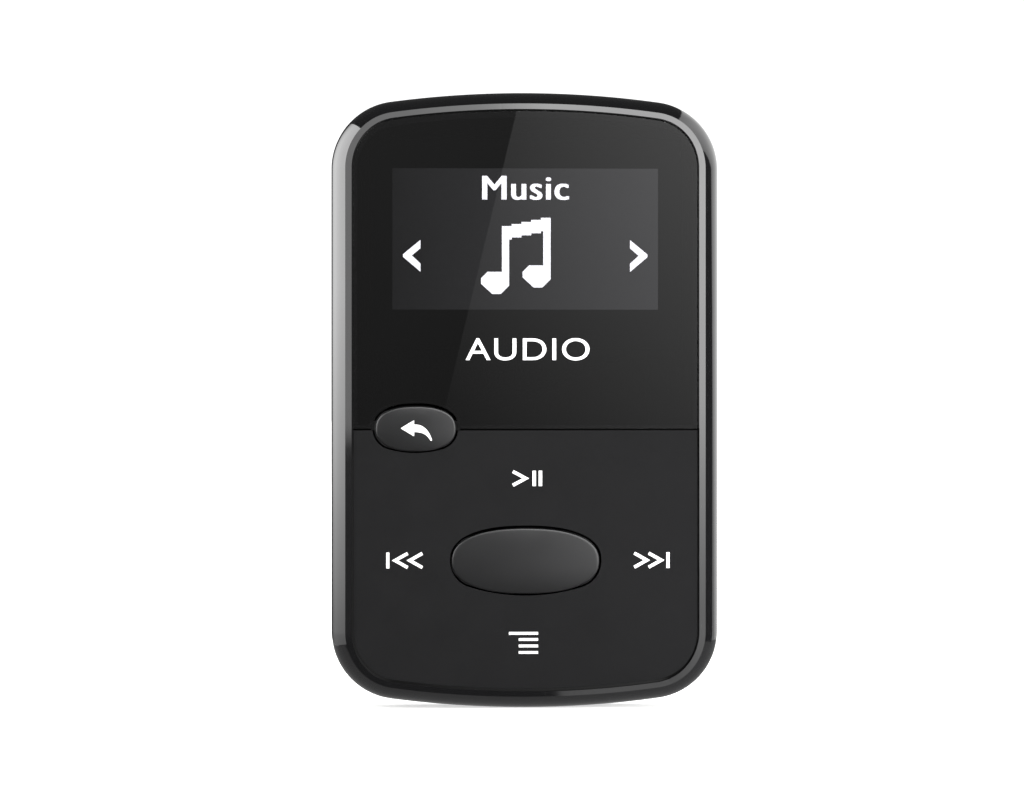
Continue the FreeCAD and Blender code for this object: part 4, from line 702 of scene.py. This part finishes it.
class PieceOperator:
    """What the operators that build pieces share."""
    bl_options = {"REGISTER", "UNDO"}

    def groups(self, context):
        """The scene's sizes and colours."""
        scene = context.scene
        return scene.player_case, scene.player_keys, scene.player_screen, scene.player_finish


class PLAYER_OT_front_frame(PieceOperator, bpy.types.Operator):
    """Glossy rim swept round the case outline, with its side openings, and the deck inside it"""
    bl_idname = "player.front_frame"
    bl_label = "Front frame"

    def execute(self, context):
        case, keys, _, colors = self.groups(context)
        gloss = polished_abs(colors)
        path, normal = case_path(case)
        wall, seam, bite = case.wall, case.seam, 0.1 * MM
        ledge, ledge_thick = 0.5 * MM, 0.6 * MM     # step under the edge of the lens and pad
        crest, level = case.crest_inset, case.crest_level
        curve = bezier([(0, case.shoulder), (0, case.shoulder + 1.35 * MM),
                        (crest - 0.65 * MM, level - 0.57 * MM), (crest, level)], 18)
        recess = case.recess_inset
        lip = LENS_TOP - 1.65 * MM
        section = np.concatenate([
            [(wall, seam), (bite, seam), (0, seam + bite)],
            [(0, seam + 1.2 * MM), (0, case.shoulder - 0.8 * MM)], curve,
            [(recess - 0.1 * MM, RIM_TOP - 0.035 * MM), (recess - 0.03 * MM, RIM_TOP - 0.005 * MM),
             (recess, RIM_TOP - 0.04 * MM),
             (recess, lip), (recess + ledge, lip), (recess + ledge, lip - ledge_thick),
             (wall, lip - ledge_thick)]])
        inset, out = section[:, 0], section[:, 1]
        spots = path[:, None, :] - normal[:, None, :] * inset[None, :, None]
        share = np.clip(inset / recess, 0, 1)[None, :]
        rings = place(*reach_ends(spots[..., 0], spots[..., 1], out[None, :], case.end_reach,
                                  share))
        rim = as_object("front_rim", shell(rings, grid_faces(len(path), len(section), True, True)))
        for node, long, short, gap, axis in SIDE_OPENINGS:
            spare = 2 * keys.side_gap if gap else 0.0
            carve(rim, side_block(node, (long * MM + spare, short * MM + spare), axis))
        finish(rim, "housing", gloss, ["front_bezel"], sharp=11)
        deck = as_object("face_deck", merged_copy("front_bezel"))
        inner, _ = case_path(case, recess + 0.2 * MM)
        carve(deck, prism(inner, seam - 5 * MM, LENS_TOP - 1.2 * MM), "INTERSECT")
        finish(deck, "housing", gloss, ["front_bezel"])
        return {"FINISHED"}


def side_block(node, size, axis):
    """A block through the case wall, centred on a side piece: its outline along the wall, its
    depth across the wall."""
    low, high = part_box(node)
    side, out, up = (low.x + high.x) / 2, (low.y + high.y) / 2, (low.z + high.z) / 2
    across = axis == "X"
    level = FRONT_HIGH.x * (1 if side > 0 else -1) if across else FRONT_HIGH.z

    def turned(a, b, c):
        spots = (c, b + out, a + up) if across else (a + side, b + out, c)
        return np.stack(np.broadcast_arrays(*spots), -1)

    depth, spare = 2.2 * MM, 1 * MM
    return prism(slot_path(*size), level - depth, level + spare, turned)


# side piece, length and width of its opening in mm, whether it has a key's gap, axis of the wall
SIDE_OPENINGS = [
    ("headphone_jack", 4.7, 4.7, False, "X"),
    ("usb_shell", 7.7, 2.7, False, "X"),
    ("volume_rocker", 13, 2.2, True, "X"),
    ("power_button", 7, 2, True, "Z"),
]


class PLAYER_OT_rear_shell(PieceOperator, bpy.types.Operator):
    """Textured rear shell with broken edges, and its four screws"""
    bl_idname = "player.rear_shell"
    bl_label = "Rear shell"

    def execute(self, context):
        case, _, _, colors = self.groups(context)
        rear = as_object("rear_shell", merged_copy("rear_cover"))
        finish(rear, "housing", textured_abs(colors), ["rear_cover"],
               bevel=case.edge_round, segments=2)
        screws = as_object("rear_screws", merged_copy("case_screws"))
        finish(screws, "housing", dark_steel(), ["case_screws"],
               bevel=0.06 * MM, segments=2)
        return {"FINISHED"}


class PLAYER_OT_face_plates(PieceOperator, bpy.types.Operator):
    """Smoked lens with the ink on its back, control pad, and black sheets of painted shade in gaps
    """
    bl_idname = "player.face_plates"
    bl_label = "Lens and pad"

    def execute(self, context):
        case, keys, screen, colors = self.groups(context)
        bite = 0.01 * MM
        lens = as_object("smoked_lens", reach_mesh(merged_copy("display_lens"), case.end_reach))
        self.open_key(lens, keys, "back")
        finish(lens, "housing", smoked_acrylic(), ["display_lens"],
               bevel=case.plate_round)
        low, high = -LENS_HIGH.y + bite, -LENS_HIGH.y + bite * 3
        inked = np.array(bar(-16.9, 16.9, 5.4, 28.3)) * MM
        mask = as_object("lens_mask", prism(inked, low, high))
        across, rise, middle = screen.width / 2, screen.height / 2, screen.rise
        window = [(-across, middle - rise), (across, middle - rise), (across, middle + rise),
                  (-across, middle + rise)]
        carve(mask, prism(window, low - bite, high + bite))
        finish(mask, "housing", backing_ink_and_painted_shade())
        pad = as_object("pad_plate", reach_mesh(merged_copy("control_pad"),
                                                 case.end_reach - 0.08 * MM))
        # the pad's upper edge is trimmed a little, by a block wider than the case
        top, trim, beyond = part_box("control_pad")[1].z - MIDDLE, 0.06, 30 * MM
        joint = np.array([(-1, -trim), (1, -trim), (1, 1), (-1, 1)]) * (beyond, MM) + (0, top)
        carve(pad, prism(joint, PAD_TOP - 2.0 * MM, PAD_TOP + 1.0 * MM))
        # black sheet in the joint between lens and pad, on both sides of the back key: painted
        # shade that darkens the joint
        rim_width, past_key = 2.35, 0.5
        bottom, edge = (LENS_LOW.z - MIDDLE) / MM, FRONT_HIGH.x / MM - rim_width
        clear = keys.back_width / MM / 2 + past_key
        centre = -keys.back_left / MM
        foam = [prism(np.array(bar(a, b, top / MM - 0.01, bottom - 0.04)) * MM,
                      PAD_TOP - 0.5 * MM, PAD_TOP - 0.22 * MM)
                for a, b in ((-edge, centre - clear), (centre + clear, edge))]
        finish(as_object("joint_shade_sheet", joined(*foam)), "housing", backing_ink_and_painted_shade())
        self.open_key(pad, keys, "back")
        self.open_key(pad, keys, "middle")
        finish(pad, "pad", soft_touch(colors), ["control_pad"], bevel=case.plate_round)
        # black sheet under the pad: painted shade that darkens the gaps round the keys
        under, shade_sheet_thick = PAD_TOP - 1.0 * MM, 0.05 * MM
        shade_sheet_reach, key_play = 0.5 * MM, 0.06 * MM
        for key in ("middle", "back"):
            # each sheet is painted shade, a black ring where the key's gap would be in shadow
            film = as_object(f"{key}_key_shade_sheet", prism(self.key_oval(keys, key, shade_sheet_reach),
                                                      under - shade_sheet_thick, under))
            carve(film, prism(self.key_oval(keys, key, key_play), under - MM, under + MM))
            carve(film, prism(joint, under - MM, under + MM))
            finish(film, "pad", backing_ink_and_painted_shade())
        return {"FINISHED"}

    def key_oval(self, keys, key, gap):
        """A face key's oval, set out by a gap."""
        centre = {"middle": (0.0, -keys.middle_drop), "back": (-keys.back_left, -keys.back_drop)}
        width, height = (getattr(keys, f"{key}_{size}") for size in ("width", "height"))
        return oval_path(width + 2 * gap, height + 2 * gap, keys.fullness) + centre[key]

    def open_key(self, plate, keys, key):
        """Widens the top of a key's opening to its oval plus a gap, set a little up."""
        lift, depth = 0.09 * MM, 1.0 * MM
        outline = self.key_oval(keys, key, getattr(keys, f"{key}_gap")) + (0.0, lift)
        carve(plate, prism(outline, PAD_TOP - depth, PAD_TOP + depth))


class PLAYER_OT_keys(PieceOperator, bpy.types.Operator):
    """Crowned middle key and back key, and the power key and volume rocker in the case sides"""
    bl_idname = "player.keys"
    bl_label = "Keys"

    def execute(self, context):
        _, keys, _, colors = self.groups(context)
        satin = satin_abs(colors)
        middle = key_cap("center_button", keys.middle_width, keys.middle_height, 0.0,
                         -keys.middle_drop, KEY_TOP, keys)
        finish(as_object("middle_key", middle), "center_key", satin, ["center_button"],
               sharp=35)
        back = key_cap("back_button", keys.back_width, keys.back_height, -keys.back_left,
                       -keys.back_drop, KEY_TOP, keys)
        finish(as_object("back_key_cap", back), "back_key", satin, ["back_button"],
               sharp=35)
        for name, node, body in (("volume_key_cap", "volume_rocker", "volume_key"),
                                 ("power_key_cap", "power_button", "power_key")):
            finish(as_object(name, merged_copy(node)), body, satin, [node],
                   bevel=0.15 * MM)
        return {"FINISHED"}


def bar(left, right, low, high):
    """Corners of an upright rectangle."""
    return [(left, low), (right, low), (right, high), (left, high)]


class PLAYER_OT_marks(PieceOperator, bpy.types.Operator):
    """White signs printed on the control pad"""
    bl_idname = "player.marks"
    bl_label = "Printed signs"

    def execute(self, context):
        _, _, screen, colors = self.groups(context)
        # places in millimetres
        play = [stroke([(-1.38, -7.72), (0.0, -8.46), (-1.38, -9.2)], 0.34),
                bar(0.74, 1.1, -9.29, -7.64), bar(1.41, 1.77, -9.29, -7.64)]
        arrow = np.array([(0.0, 0.76), (1.36, 0.0), (0.0, -0.76)]) + (0, -17.32)
        back = [bar(-15.07, -14.74, -18.17, -16.47)]
        back += [stroke(arrow * (-1, 1) + (left, 0), 0.33) for left in (-12.76, -11.18)]
        ahead = [bar(15.24, 15.58, -18.17, -16.47)]
        ahead += [stroke(arrow + (left, 0), 0.33) for left in (11.76, 13.32)]
        menu = [bar(-1.81, 1.33, -25.36, -25.07)]
        menu += [bar(-0.75, 1.33, low, low + 0.28) for low in (-26.02, -26.72, -27.42)]
        print_marks("pad_signs", play + back + ahead + menu, PAD_TOP, screen.ink, "pad",
                    screen_ink(colors))
        return {"FINISHED"}


class PLAYER_OT_screen(PieceOperator, bpy.types.Operator):
    """Lit area of the display with its title, note and arrows"""
    bl_idname = "player.screen"
    bl_label = "Screen"

    def execute(self, context):
        _, _, screen, _ = self.groups(context)
        dress("display_panel", display_glass())
        # both lights rise from the left to the right, a painted reflection of the lens
        glow = lit("display glow with painted reflection", "#CACACA", 1.45, 0.18, screen.width / 2)
        marks = lit("display signs", "#F4F4F4", 34.0, 0.96, screen.width / 2)
        half, rise = screen.width / 2 / MM, screen.height / 2 / MM
        middle = screen.rise / MM
        print_marks("lit_area", [bar(-half, half, middle - rise, middle + rise)], PANEL_TOP,
                    screen.ink, "housing", glow)
        level = PANEL_TOP + screen.ink
        # the title is the sum of three shifted copies, which makes its strokes bolder
        words = [letters(screen.title, 9.25 * MM, 2.6 * MM, shift * MM, 23.0 * MM, level,
                         screen.ink) for shift in (-0.06, 0.03, 0.12)]
        title = as_object("screen_title", words[0])
        for word in words[1:]:
            carve(title, word, "UNION")
        finish(title, "housing", marks)
        left = np.array([(-11.36, 17.35), (-11.36, 16.45), (-12.3, 15.65), (-11.36, 14.8),
                         (-11.36, 13.9), (-13.25, 15.5), (-13.25, 15.8)])
        print_marks("screen_arrows", [left, left * (-1, 1)], level, screen.ink, "housing",
                    marks)
        steps = 5
        run = np.linspace(-2.54, 2.74, steps + 1)
        rises = np.linspace(18.85, 19.76, steps)
        beam = [bar(a, b + 0.01, top - 1.45, top) for a, b, top in zip(run, run[1:], rises)]
        stems = [bar(-2.54, -1.76, 12.6, 18.8), bar(1.94, 2.74, 13.4, 19.7)]
        head = np.array([(-4.8, 12.6), (-4.8, 13.2), (-4.1, 13.9), (-1.76, 13.9), (-1.76, 12.4),
                         (-2.65, 11.5), (-3.6, 11.5)])
        note = beam + stems + [head, head + (4.5, 0.7)]
        print_marks("screen_note", note, level, screen.ink, "housing", marks)
        return {"FINISHED"}


class PLAYER_OT_back_sign(PieceOperator, bpy.types.Operator):
    """Return arrow printed on the back key and the plain word under the screen"""
    bl_idname = "player.back_sign"
    bl_label = "Return arrow and word"

    def execute(self, context):
        _, keys, screen, colors = self.groups(context)
        ink = screen_ink(colors)
        upper = bezier([(-12.07, -2.65), (-11.2, -2.6), (-10.5, -3.1), (-10.12, -4.34)], 14)
        lower = bezier([(-10.28, -4.38), (-10.75, -3.6), (-11.3, -3.44), (-12.07, -3.44)], 14)
        head = np.array([(-12.07, -3.9), (-13.52, -3.04), (-12.07, -2.18)])
        made = prism(np.concatenate([upper, lower, head]) * MM, 0.0, screen.ink)
        bmesh.ops.triangulate(made, faces=made.faces)
        bmesh.ops.subdivide_edges(made, edges=made.edges, cuts=3, use_grid_fill=True)
        crown = keys.crown * keys.back_height / keys.middle_height
        sink = 0.6                  # share of the ink's thickness that sinks into the key

        def drape(spots):
            plan = spots[:, [0, 2]] - (0, MIDDLE)
            rise = dome_rise(plan + (keys.back_left, keys.back_drop), keys.back_width,
                             keys.back_height, keys.fullness, crown)
            level = KEY_TOP - crown + rise - spots[:, 1] - screen.ink * sink
            return place(plan[:, 0], plan[:, 1], level)

        finish(as_object("return_arrow", reshaped(made, drape)), "back_key", ink)
        label = letters(screen.label, 13.4 * MM, 2.4 * MM, 0.2 * MM, 5.5 * MM, LENS_TOP,
                        screen.ink)
        finish(as_object("plain_word", label), "housing", ink)
        return {"FINISHED"}


class PLAYER_OT_clip(PieceOperator, bpy.types.Operator):
    """Spring clip on the back: lever, rubber jaw, pin and torsion spring"""
    bl_idname = "player.clip"
    bl_label = "Clip"

    def execute(self, context):
        _, _, _, colors = self.groups(context)
        finish(as_object("clip_arm", merged_copy("clip_lever")), "clip",
               filled_nylon(colors), ["clip_lever"], bevel=0.2 * MM)
        finish(as_object("clip_jaw_pad", merged_copy("clip_grip")), "clip",
               soft_rubber(), ["clip_grip"], bevel=0.08 * MM, segments=2)
        finish(as_object("hinge_pin", merged_copy("clip_pin")), "housing",
               plated_steel(), ["clip_pin"], bevel=0.06 * MM, segments=2)
        dress("clip_spring", plated_steel())
        return {"FINISHED"}


class PLAYER_OT_sockets(PieceOperator, bpy.types.Operator):
    """Headphone socket and charging socket"""
    bl_idname = "player.sockets"
    bl_label = "Sockets"

    def execute(self, context):
        polymer = liquid_crystal_polymer()
        finish(as_object("headphone_socket", merged_copy("headphone_jack")), "housing",
               polymer, ["headphone_jack"], bevel=0.1 * MM, segments=2)
        finish(as_object("charging_shell", merged_copy("usb_shell")), "housing",
               plated_steel(), ["usb_shell"], bevel=0.05 * MM, segments=2)
        dress("usb_tongue", polymer)
        dress("jack_contacts", gold_flash())
        return {"FINISHED"}


class PLAYER_OT_inside(PieceOperator, bpy.types.Operator):
    """Finishes of everything inside the case"""
    bl_idname = "player.inside"
    bl_label = "Inside"

    def execute(self, context):
        polymer, steel = liquid_crystal_polymer(), plated_steel()
        for nodes, material in (
            (("lens_adhesive", "battery_tape"), acrylic_tape()),
            (("rocker_ring", "pad_domes", "center_dome", "back_dome"), steel),
            (("display_holder",), white_carbonate()),
            (("display_flex",), polyimide()),
            (("main_board", "battery_guard_board"), solder_mask()),
            (("processor", "flash_memory"), epoxy()),
            (("battery",), pouch_foil()),
            (("battery_lead_positive",), silicone("red silicone", "#A81818")),
            (("battery_lead_negative",), silicone("black silicone", "#1A1A1A")),
            (("flex_connector", "volume_switches", "volume_plungers", "power_switch",
              "power_plunger"), polymer),
        ):
            for node in nodes:
                dress(node, material)
        return {"FINISHED"}


# ---------------------------------------------------------------- stage

def panel(name, axis, level, first, second, lean=0.0, bright=True):
    """A flat reflector seen only in gloss: a grid over two tables of (place, glow), each point
    glowing by the product of both. Places are plan places in millimetres. With a lean, the second
    place moves by lean times the first."""
    a, b = np.array(first, float), np.array(second, float)
    u = np.unique(np.concatenate([a[:, 0], np.linspace(a[:, 0].min(), a[:, 0].max(), 12)]))
    v = np.unique(np.concatenate([b[:, 0], np.linspace(b[:, 0].min(), b[:, 0].max(), 12)]))
    glow = np.outer(np.interp(u, a[:, 0], a[:, 1]), np.interp(v, b[:, 0], b[:, 1]))
    u, v = np.meshgrid(u * MM, v * MM, indexing="ij")
    v = v + lean * u
    flat = np.full_like(u, level * MM)
    spots = {"across": (flat, u, v), "up": (u, flat, v), "out": (u, v, flat)}[axis]
    return reflector(name, place(*spots), glow, bright)


def reflector(name, spots, glow, bright=True):
    """A surface of frame places whose light is an attribute of its points, seen only in gloss."""
    rows, columns = spots.shape[:2]
    mesh = bpy.data.meshes.new(name)
    mesh.from_pydata(spots.reshape(-1, 3).tolist(), [], grid_faces(rows, columns, False, False))
    light = mesh.attributes.new("glow", "FLOAT", "POINT")
    light.data.foreach_set("value", glow.astype(np.float32).ravel())
    card = bpy.data.objects.new(name, mesh)
    bpy.context.scene.collection.objects.link(card)
    label = "bright reflector" if bright else "dim reflector"
    material = bpy.data.materials.get(label) or bpy.data.materials.new(label)
    if not material.use_nodes:
        material.use_nodes = True
        tree = material.node_tree
        tree.nodes.clear()
        amount = add_node(tree, "ShaderNodeAttribute", attribute_name="glow")
        shine = add_node(tree, "ShaderNodeEmission", {"Strength": amount.outputs["Fac"]})
        add_node(tree, "ShaderNodeOutputMaterial", {"Surface": shine.outputs["Emission"]})
        material.cycles.emission_sampling = "AUTO" if bright else "NONE"
    mesh.materials.append(material)
    card.visible_camera = card.visible_diffuse = card.visible_shadow = False
    card.visible_transmission = card.visible_volume_scatter = False
    card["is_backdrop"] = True
    return card


class PLAYER_OT_stage(PieceOperator, bpy.types.Operator):
    """Pale floor, soft studio light with its reflectors, and the camera"""
    bl_idname = "player.stage"
    bl_label = "Stage"

    def execute(self, context):
        scene = context.scene
        low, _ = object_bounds()
        middle = Vector((0.0, 0.0, MIDDLE))
        # camera
        turn, away = math.radians(-2.2), 450 * MM
        eye = Vector((math.sin(turn) * away, -math.cos(turn) * away, MIDDLE))
        data = bpy.data.cameras.new("camera")
        camera = bpy.data.objects.new("camera", data)
        scene.collection.objects.link(camera)
        camera.location = eye
        camera.rotation_euler = (eye - middle).to_track_quat("Z", "Y").to_euler()
        data.sensor_width = 36.0
        scale = 9.255 / MM          # steps of the image's width to a metre at the face
        data.lens = data.sensor_width * scale * (away - RIM_TOP) / IMAGE_ACROSS
        data.shift_x, data.shift_y = -10.4 / IMAGE_ACROSS, -2.9 / IMAGE_ACROSS
        data.clip_start, data.clip_end = 0.01, 50.0
        scene.camera = camera
        # floor
        reach = 6.0
        floor_mesh = bpy.data.meshes.new("floor")
        floor_mesh.from_pydata([(-reach, -reach, low.z), (reach, -reach, low.z),
                                (reach, reach, low.z), (-reach, reach, low.z)], [], [(0, 1, 2, 3)])
        floor = bpy.data.objects.new("floor", floor_mesh)
        scene.collection.objects.link(floor)
        floor_mesh.materials.append(surface("pale paper", linear("#F4F4F2"), (0.8, 0.9),
                                            grain=1.0, grain_depth=0.01, mottle=40, spread=0.01,
                                            Specular_IOR_Level=0.2, Emission_Strength=0.6,
                                            Emission_Color=(1.0, 1.0, 1.0, 1.0)))
        floor.visible_glossy = False
        floor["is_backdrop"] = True
        # light
        world = bpy.data.worlds.new("studio")
        scene.world = world
        world.use_nodes = True
        back = world.node_tree.nodes["Background"]
        back.inputs["Color"].default_value = (1.0, 1.0, 1.0, 1.0)
        back.inputs["Strength"].default_value = 1.25
        for name, spot, size, power in (("near light", (0.06, -0.045, 0.0), 0.02, 0.055),
                                        ("key light", (0.35, -0.45, 0.75), 0.5, 5.0),
                                        ("top light", (-0.1, 0.35, 0.8), 0.7, 5.0)):
            lamp = bpy.data.lights.new(name, "AREA")
            lamp.shape, lamp.size, lamp.energy = "SQUARE", size, power
            holder = bpy.data.objects.new(name, lamp)
            holder.location = spot
            holder.rotation_euler = (Vector(spot) - middle).to_track_quat("Z", "Y").to_euler()
            scene.collection.objects.link(holder)
            holder.visible_camera = holder.visible_glossy = False
        self.reflectors(eye)
        scene.view_settings.view_transform = "Standard"
        scene.view_settings.look = "None"
        scene.view_settings.exposure, scene.view_settings.gamma = 0.0, 1.0
        return {"FINISHED"}

    def reflectors(self, eye):
        """Cards that only gloss shows: a dark bowl in front, strips at the sides, a flag above, a
        card below, and in front the cards for the land, the crowns of the keys and the lens."""
        tilt = np.radians(np.linspace(0.0, 108.0, 28))[:, None]
        roll = np.radians(np.linspace(0.0, 360.0, 49))[None, :]
        radius = 1.1
        up = radius * np.sin(tilt) * np.sin(roll)
        bowl = place(radius * np.sin(tilt) * np.cos(roll), up,
                     radius * np.cos(tilt) * np.ones_like(roll))
        side = np.sin(tilt) * np.cos(roll)
        dim = np.clip(0.28 + 0.9 * up / radius, 0.12, 0.45) * np.clip(1 - 0.8 * side, 0.3, 1)
        reflector("front bowl", bowl, dim, bright=False)
        panel("left strip", "across", -150.0,
              [(-62, 0.17), (-40, 0.2), (-32, 0.25), (-16, 0.49), (0, 0.75), (16, 0.94), (40, 1.0),
               (167, 0.9)],
              [(-6000, 0.02), (-513, 0.03), (-300, 0.06), (-215, 0.3), (-165, 2.0), (-90, 5.0),
               (-50, 7.0), (-10, 8.2), (26, 8.7), (100, 8.7)])
        panel("right back", "across", 250.0, [(-71, 0.6), (0, 0.8), (100, 1.0), (400, 1.0)],
              [(-3000, 1.3), (-880, 1.4), (-420, 1.9), (-253, 2.6), (-140, 2.6), (-95, 2.3),
               (-80, 2.0), (-74, 0.1)], lean=0.8)
        panel("top flag", "up", 200.0, [(-420, 0.1), (121, 0.1)], [(-3000, 1.0), (60, 1.0)],
              bright=False)
        panel("bottom card", "up", -250.0, [(-800, 0.45), (1170, 0.45)], [(-1500, 1.0), (60, 1.0)],
              bright=False)
        panel("land left", "out", 400.0, [(-480, 1.0), (-200, 1.0)], [(-9, 2.9), (240, 3.0)])
        panel("land top", "out", 400.0,
              [(-480, 2.8), (-60, 3.2), (-12, 4.2), (3, 5.0), (20, 6.7), (42, 8.0), (520, 9.0)],
              [(240, 1.0), (640, 1.0)])
        panel("land right", "out", 400.0, [(240, 1.0), (520, 1.0)],
              [(-520, 1.4), (-53, 2.4), (-43, 3.0), (-21, 4.7), (0, 7.0), (53, 9.1), (240, 9.1)])
        panel("land bottom", "out", 400.0, [(50, 1.5), (240, 1.6)], [(-560, 1.0), (-350, 1.0)])
        # soft cards beside the mirrored part of the lens, for the crowns of the keys
        panel("crown right", "out", 400.0, [(62, 0.9), (130, 2.3), (230, 3.2)],
              [(-80, 0.75), (60, 0.85), (230, 1.0)])
        panel("crown top", "out", 400.0, [(-120, 0.15), (62, 0.6)], [(66, 0.3), (230, 1.0)])
        panel("crown low", "out", 400.0, [(-80, 0.0), (0, 0.55), (62, 1.15), (130, 1.7)],
              [(-200, 0.6), (-33, 1.0), (-11, 1.0)])
        # slanting card that the camera sees mirrored in the lens, from corners on the lens
        corners = np.array([[(-0.9, 31.6), (22.0, 34.0)], [(-9.3, -3.2), (22.0, -6.0)]]) * MM
        share = np.linspace(0, 1, 9)
        rows = corners[0][None] + (corners[1] - corners[0])[None] * share[:, None, None]
        spots = rows[:, :1] + (rows[:, 1:] - rows[:, :1]) * share[None, :, None]
        seen = np.array([eye.x, eye.z - MIDDLE])
        far = 0.9
        spots = spots + (spots - seen) * (far - LENS_TOP) / (-eye.y - LENS_TOP)
        lights = np.array([[0.92, 1.85], [0.3, 0.76]])
        ends = np.stack([1 - share, share])
        glow = ends.T @ lights @ ends
        reflector("slanting card", place(spots[..., 0], spots[..., 1], far), glow)


OPERATORS = [PLAYER_OT_front_frame, PLAYER_OT_rear_shell, PLAYER_OT_face_plates, PLAYER_OT_keys,
             PLAYER_OT_screen, PLAYER_OT_marks, PLAYER_OT_back_sign, PLAYER_OT_clip,
             PLAYER_OT_sockets, PLAYER_OT_inside, PLAYER_OT_stage]


class PLAYER_PT_panel(bpy.types.Panel):
    """Sidebar panel with every operator and the main sizes and colours"""
    bl_idname = "PLAYER_PT_panel"
    bl_label = "Audio player"
    bl_space_type = "VIEW_3D"
    bl_region_type = "UI"
    bl_category = "Player"

    def draw(self, context):
        layout, scene = self.layout, context.scene
        for operator in OPERATORS:
            layout.operator(operator.bl_idname)
        for group in (scene.player_case, scene.player_keys, scene.player_screen,
                      scene.player_finish):
            box = layout.box()
            for name in group.bl_rna.properties.keys():
                if name not in ("rna_type", "name"):
                    box.prop(group, name)


GROUPS = {"player_case": PlayerCase, "player_keys": PlayerKeys, "player_screen": PlayerScreen,
          "player_finish": PlayerFinish}


def register():
    """Adds the classes to Blender and the property groups to the scene."""
    for cls in [*GROUPS.values(), *OPERATORS, PLAYER_PT_panel]:
        bpy.utils.register_class(cls)
    for name, cls in GROUPS.items():
        setattr(bpy.types.Scene, name, PointerProperty(type=cls))


def unregister():
    """Takes them away again."""
    for name in GROUPS:
        delattr(bpy.types.Scene, name)
    for cls in reversed([*GROUPS.values(), *OPERATORS, PLAYER_PT_panel]):
        bpy.utils.unregister_class(cls)


def main():
    """Registers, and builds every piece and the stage."""
    register()
    for operator in OPERATORS:
        group, name = operator.bl_idname.split(".")
        getattr(getattr(bpy.ops, group), name)()


if __name__ == "__main__":
    main()
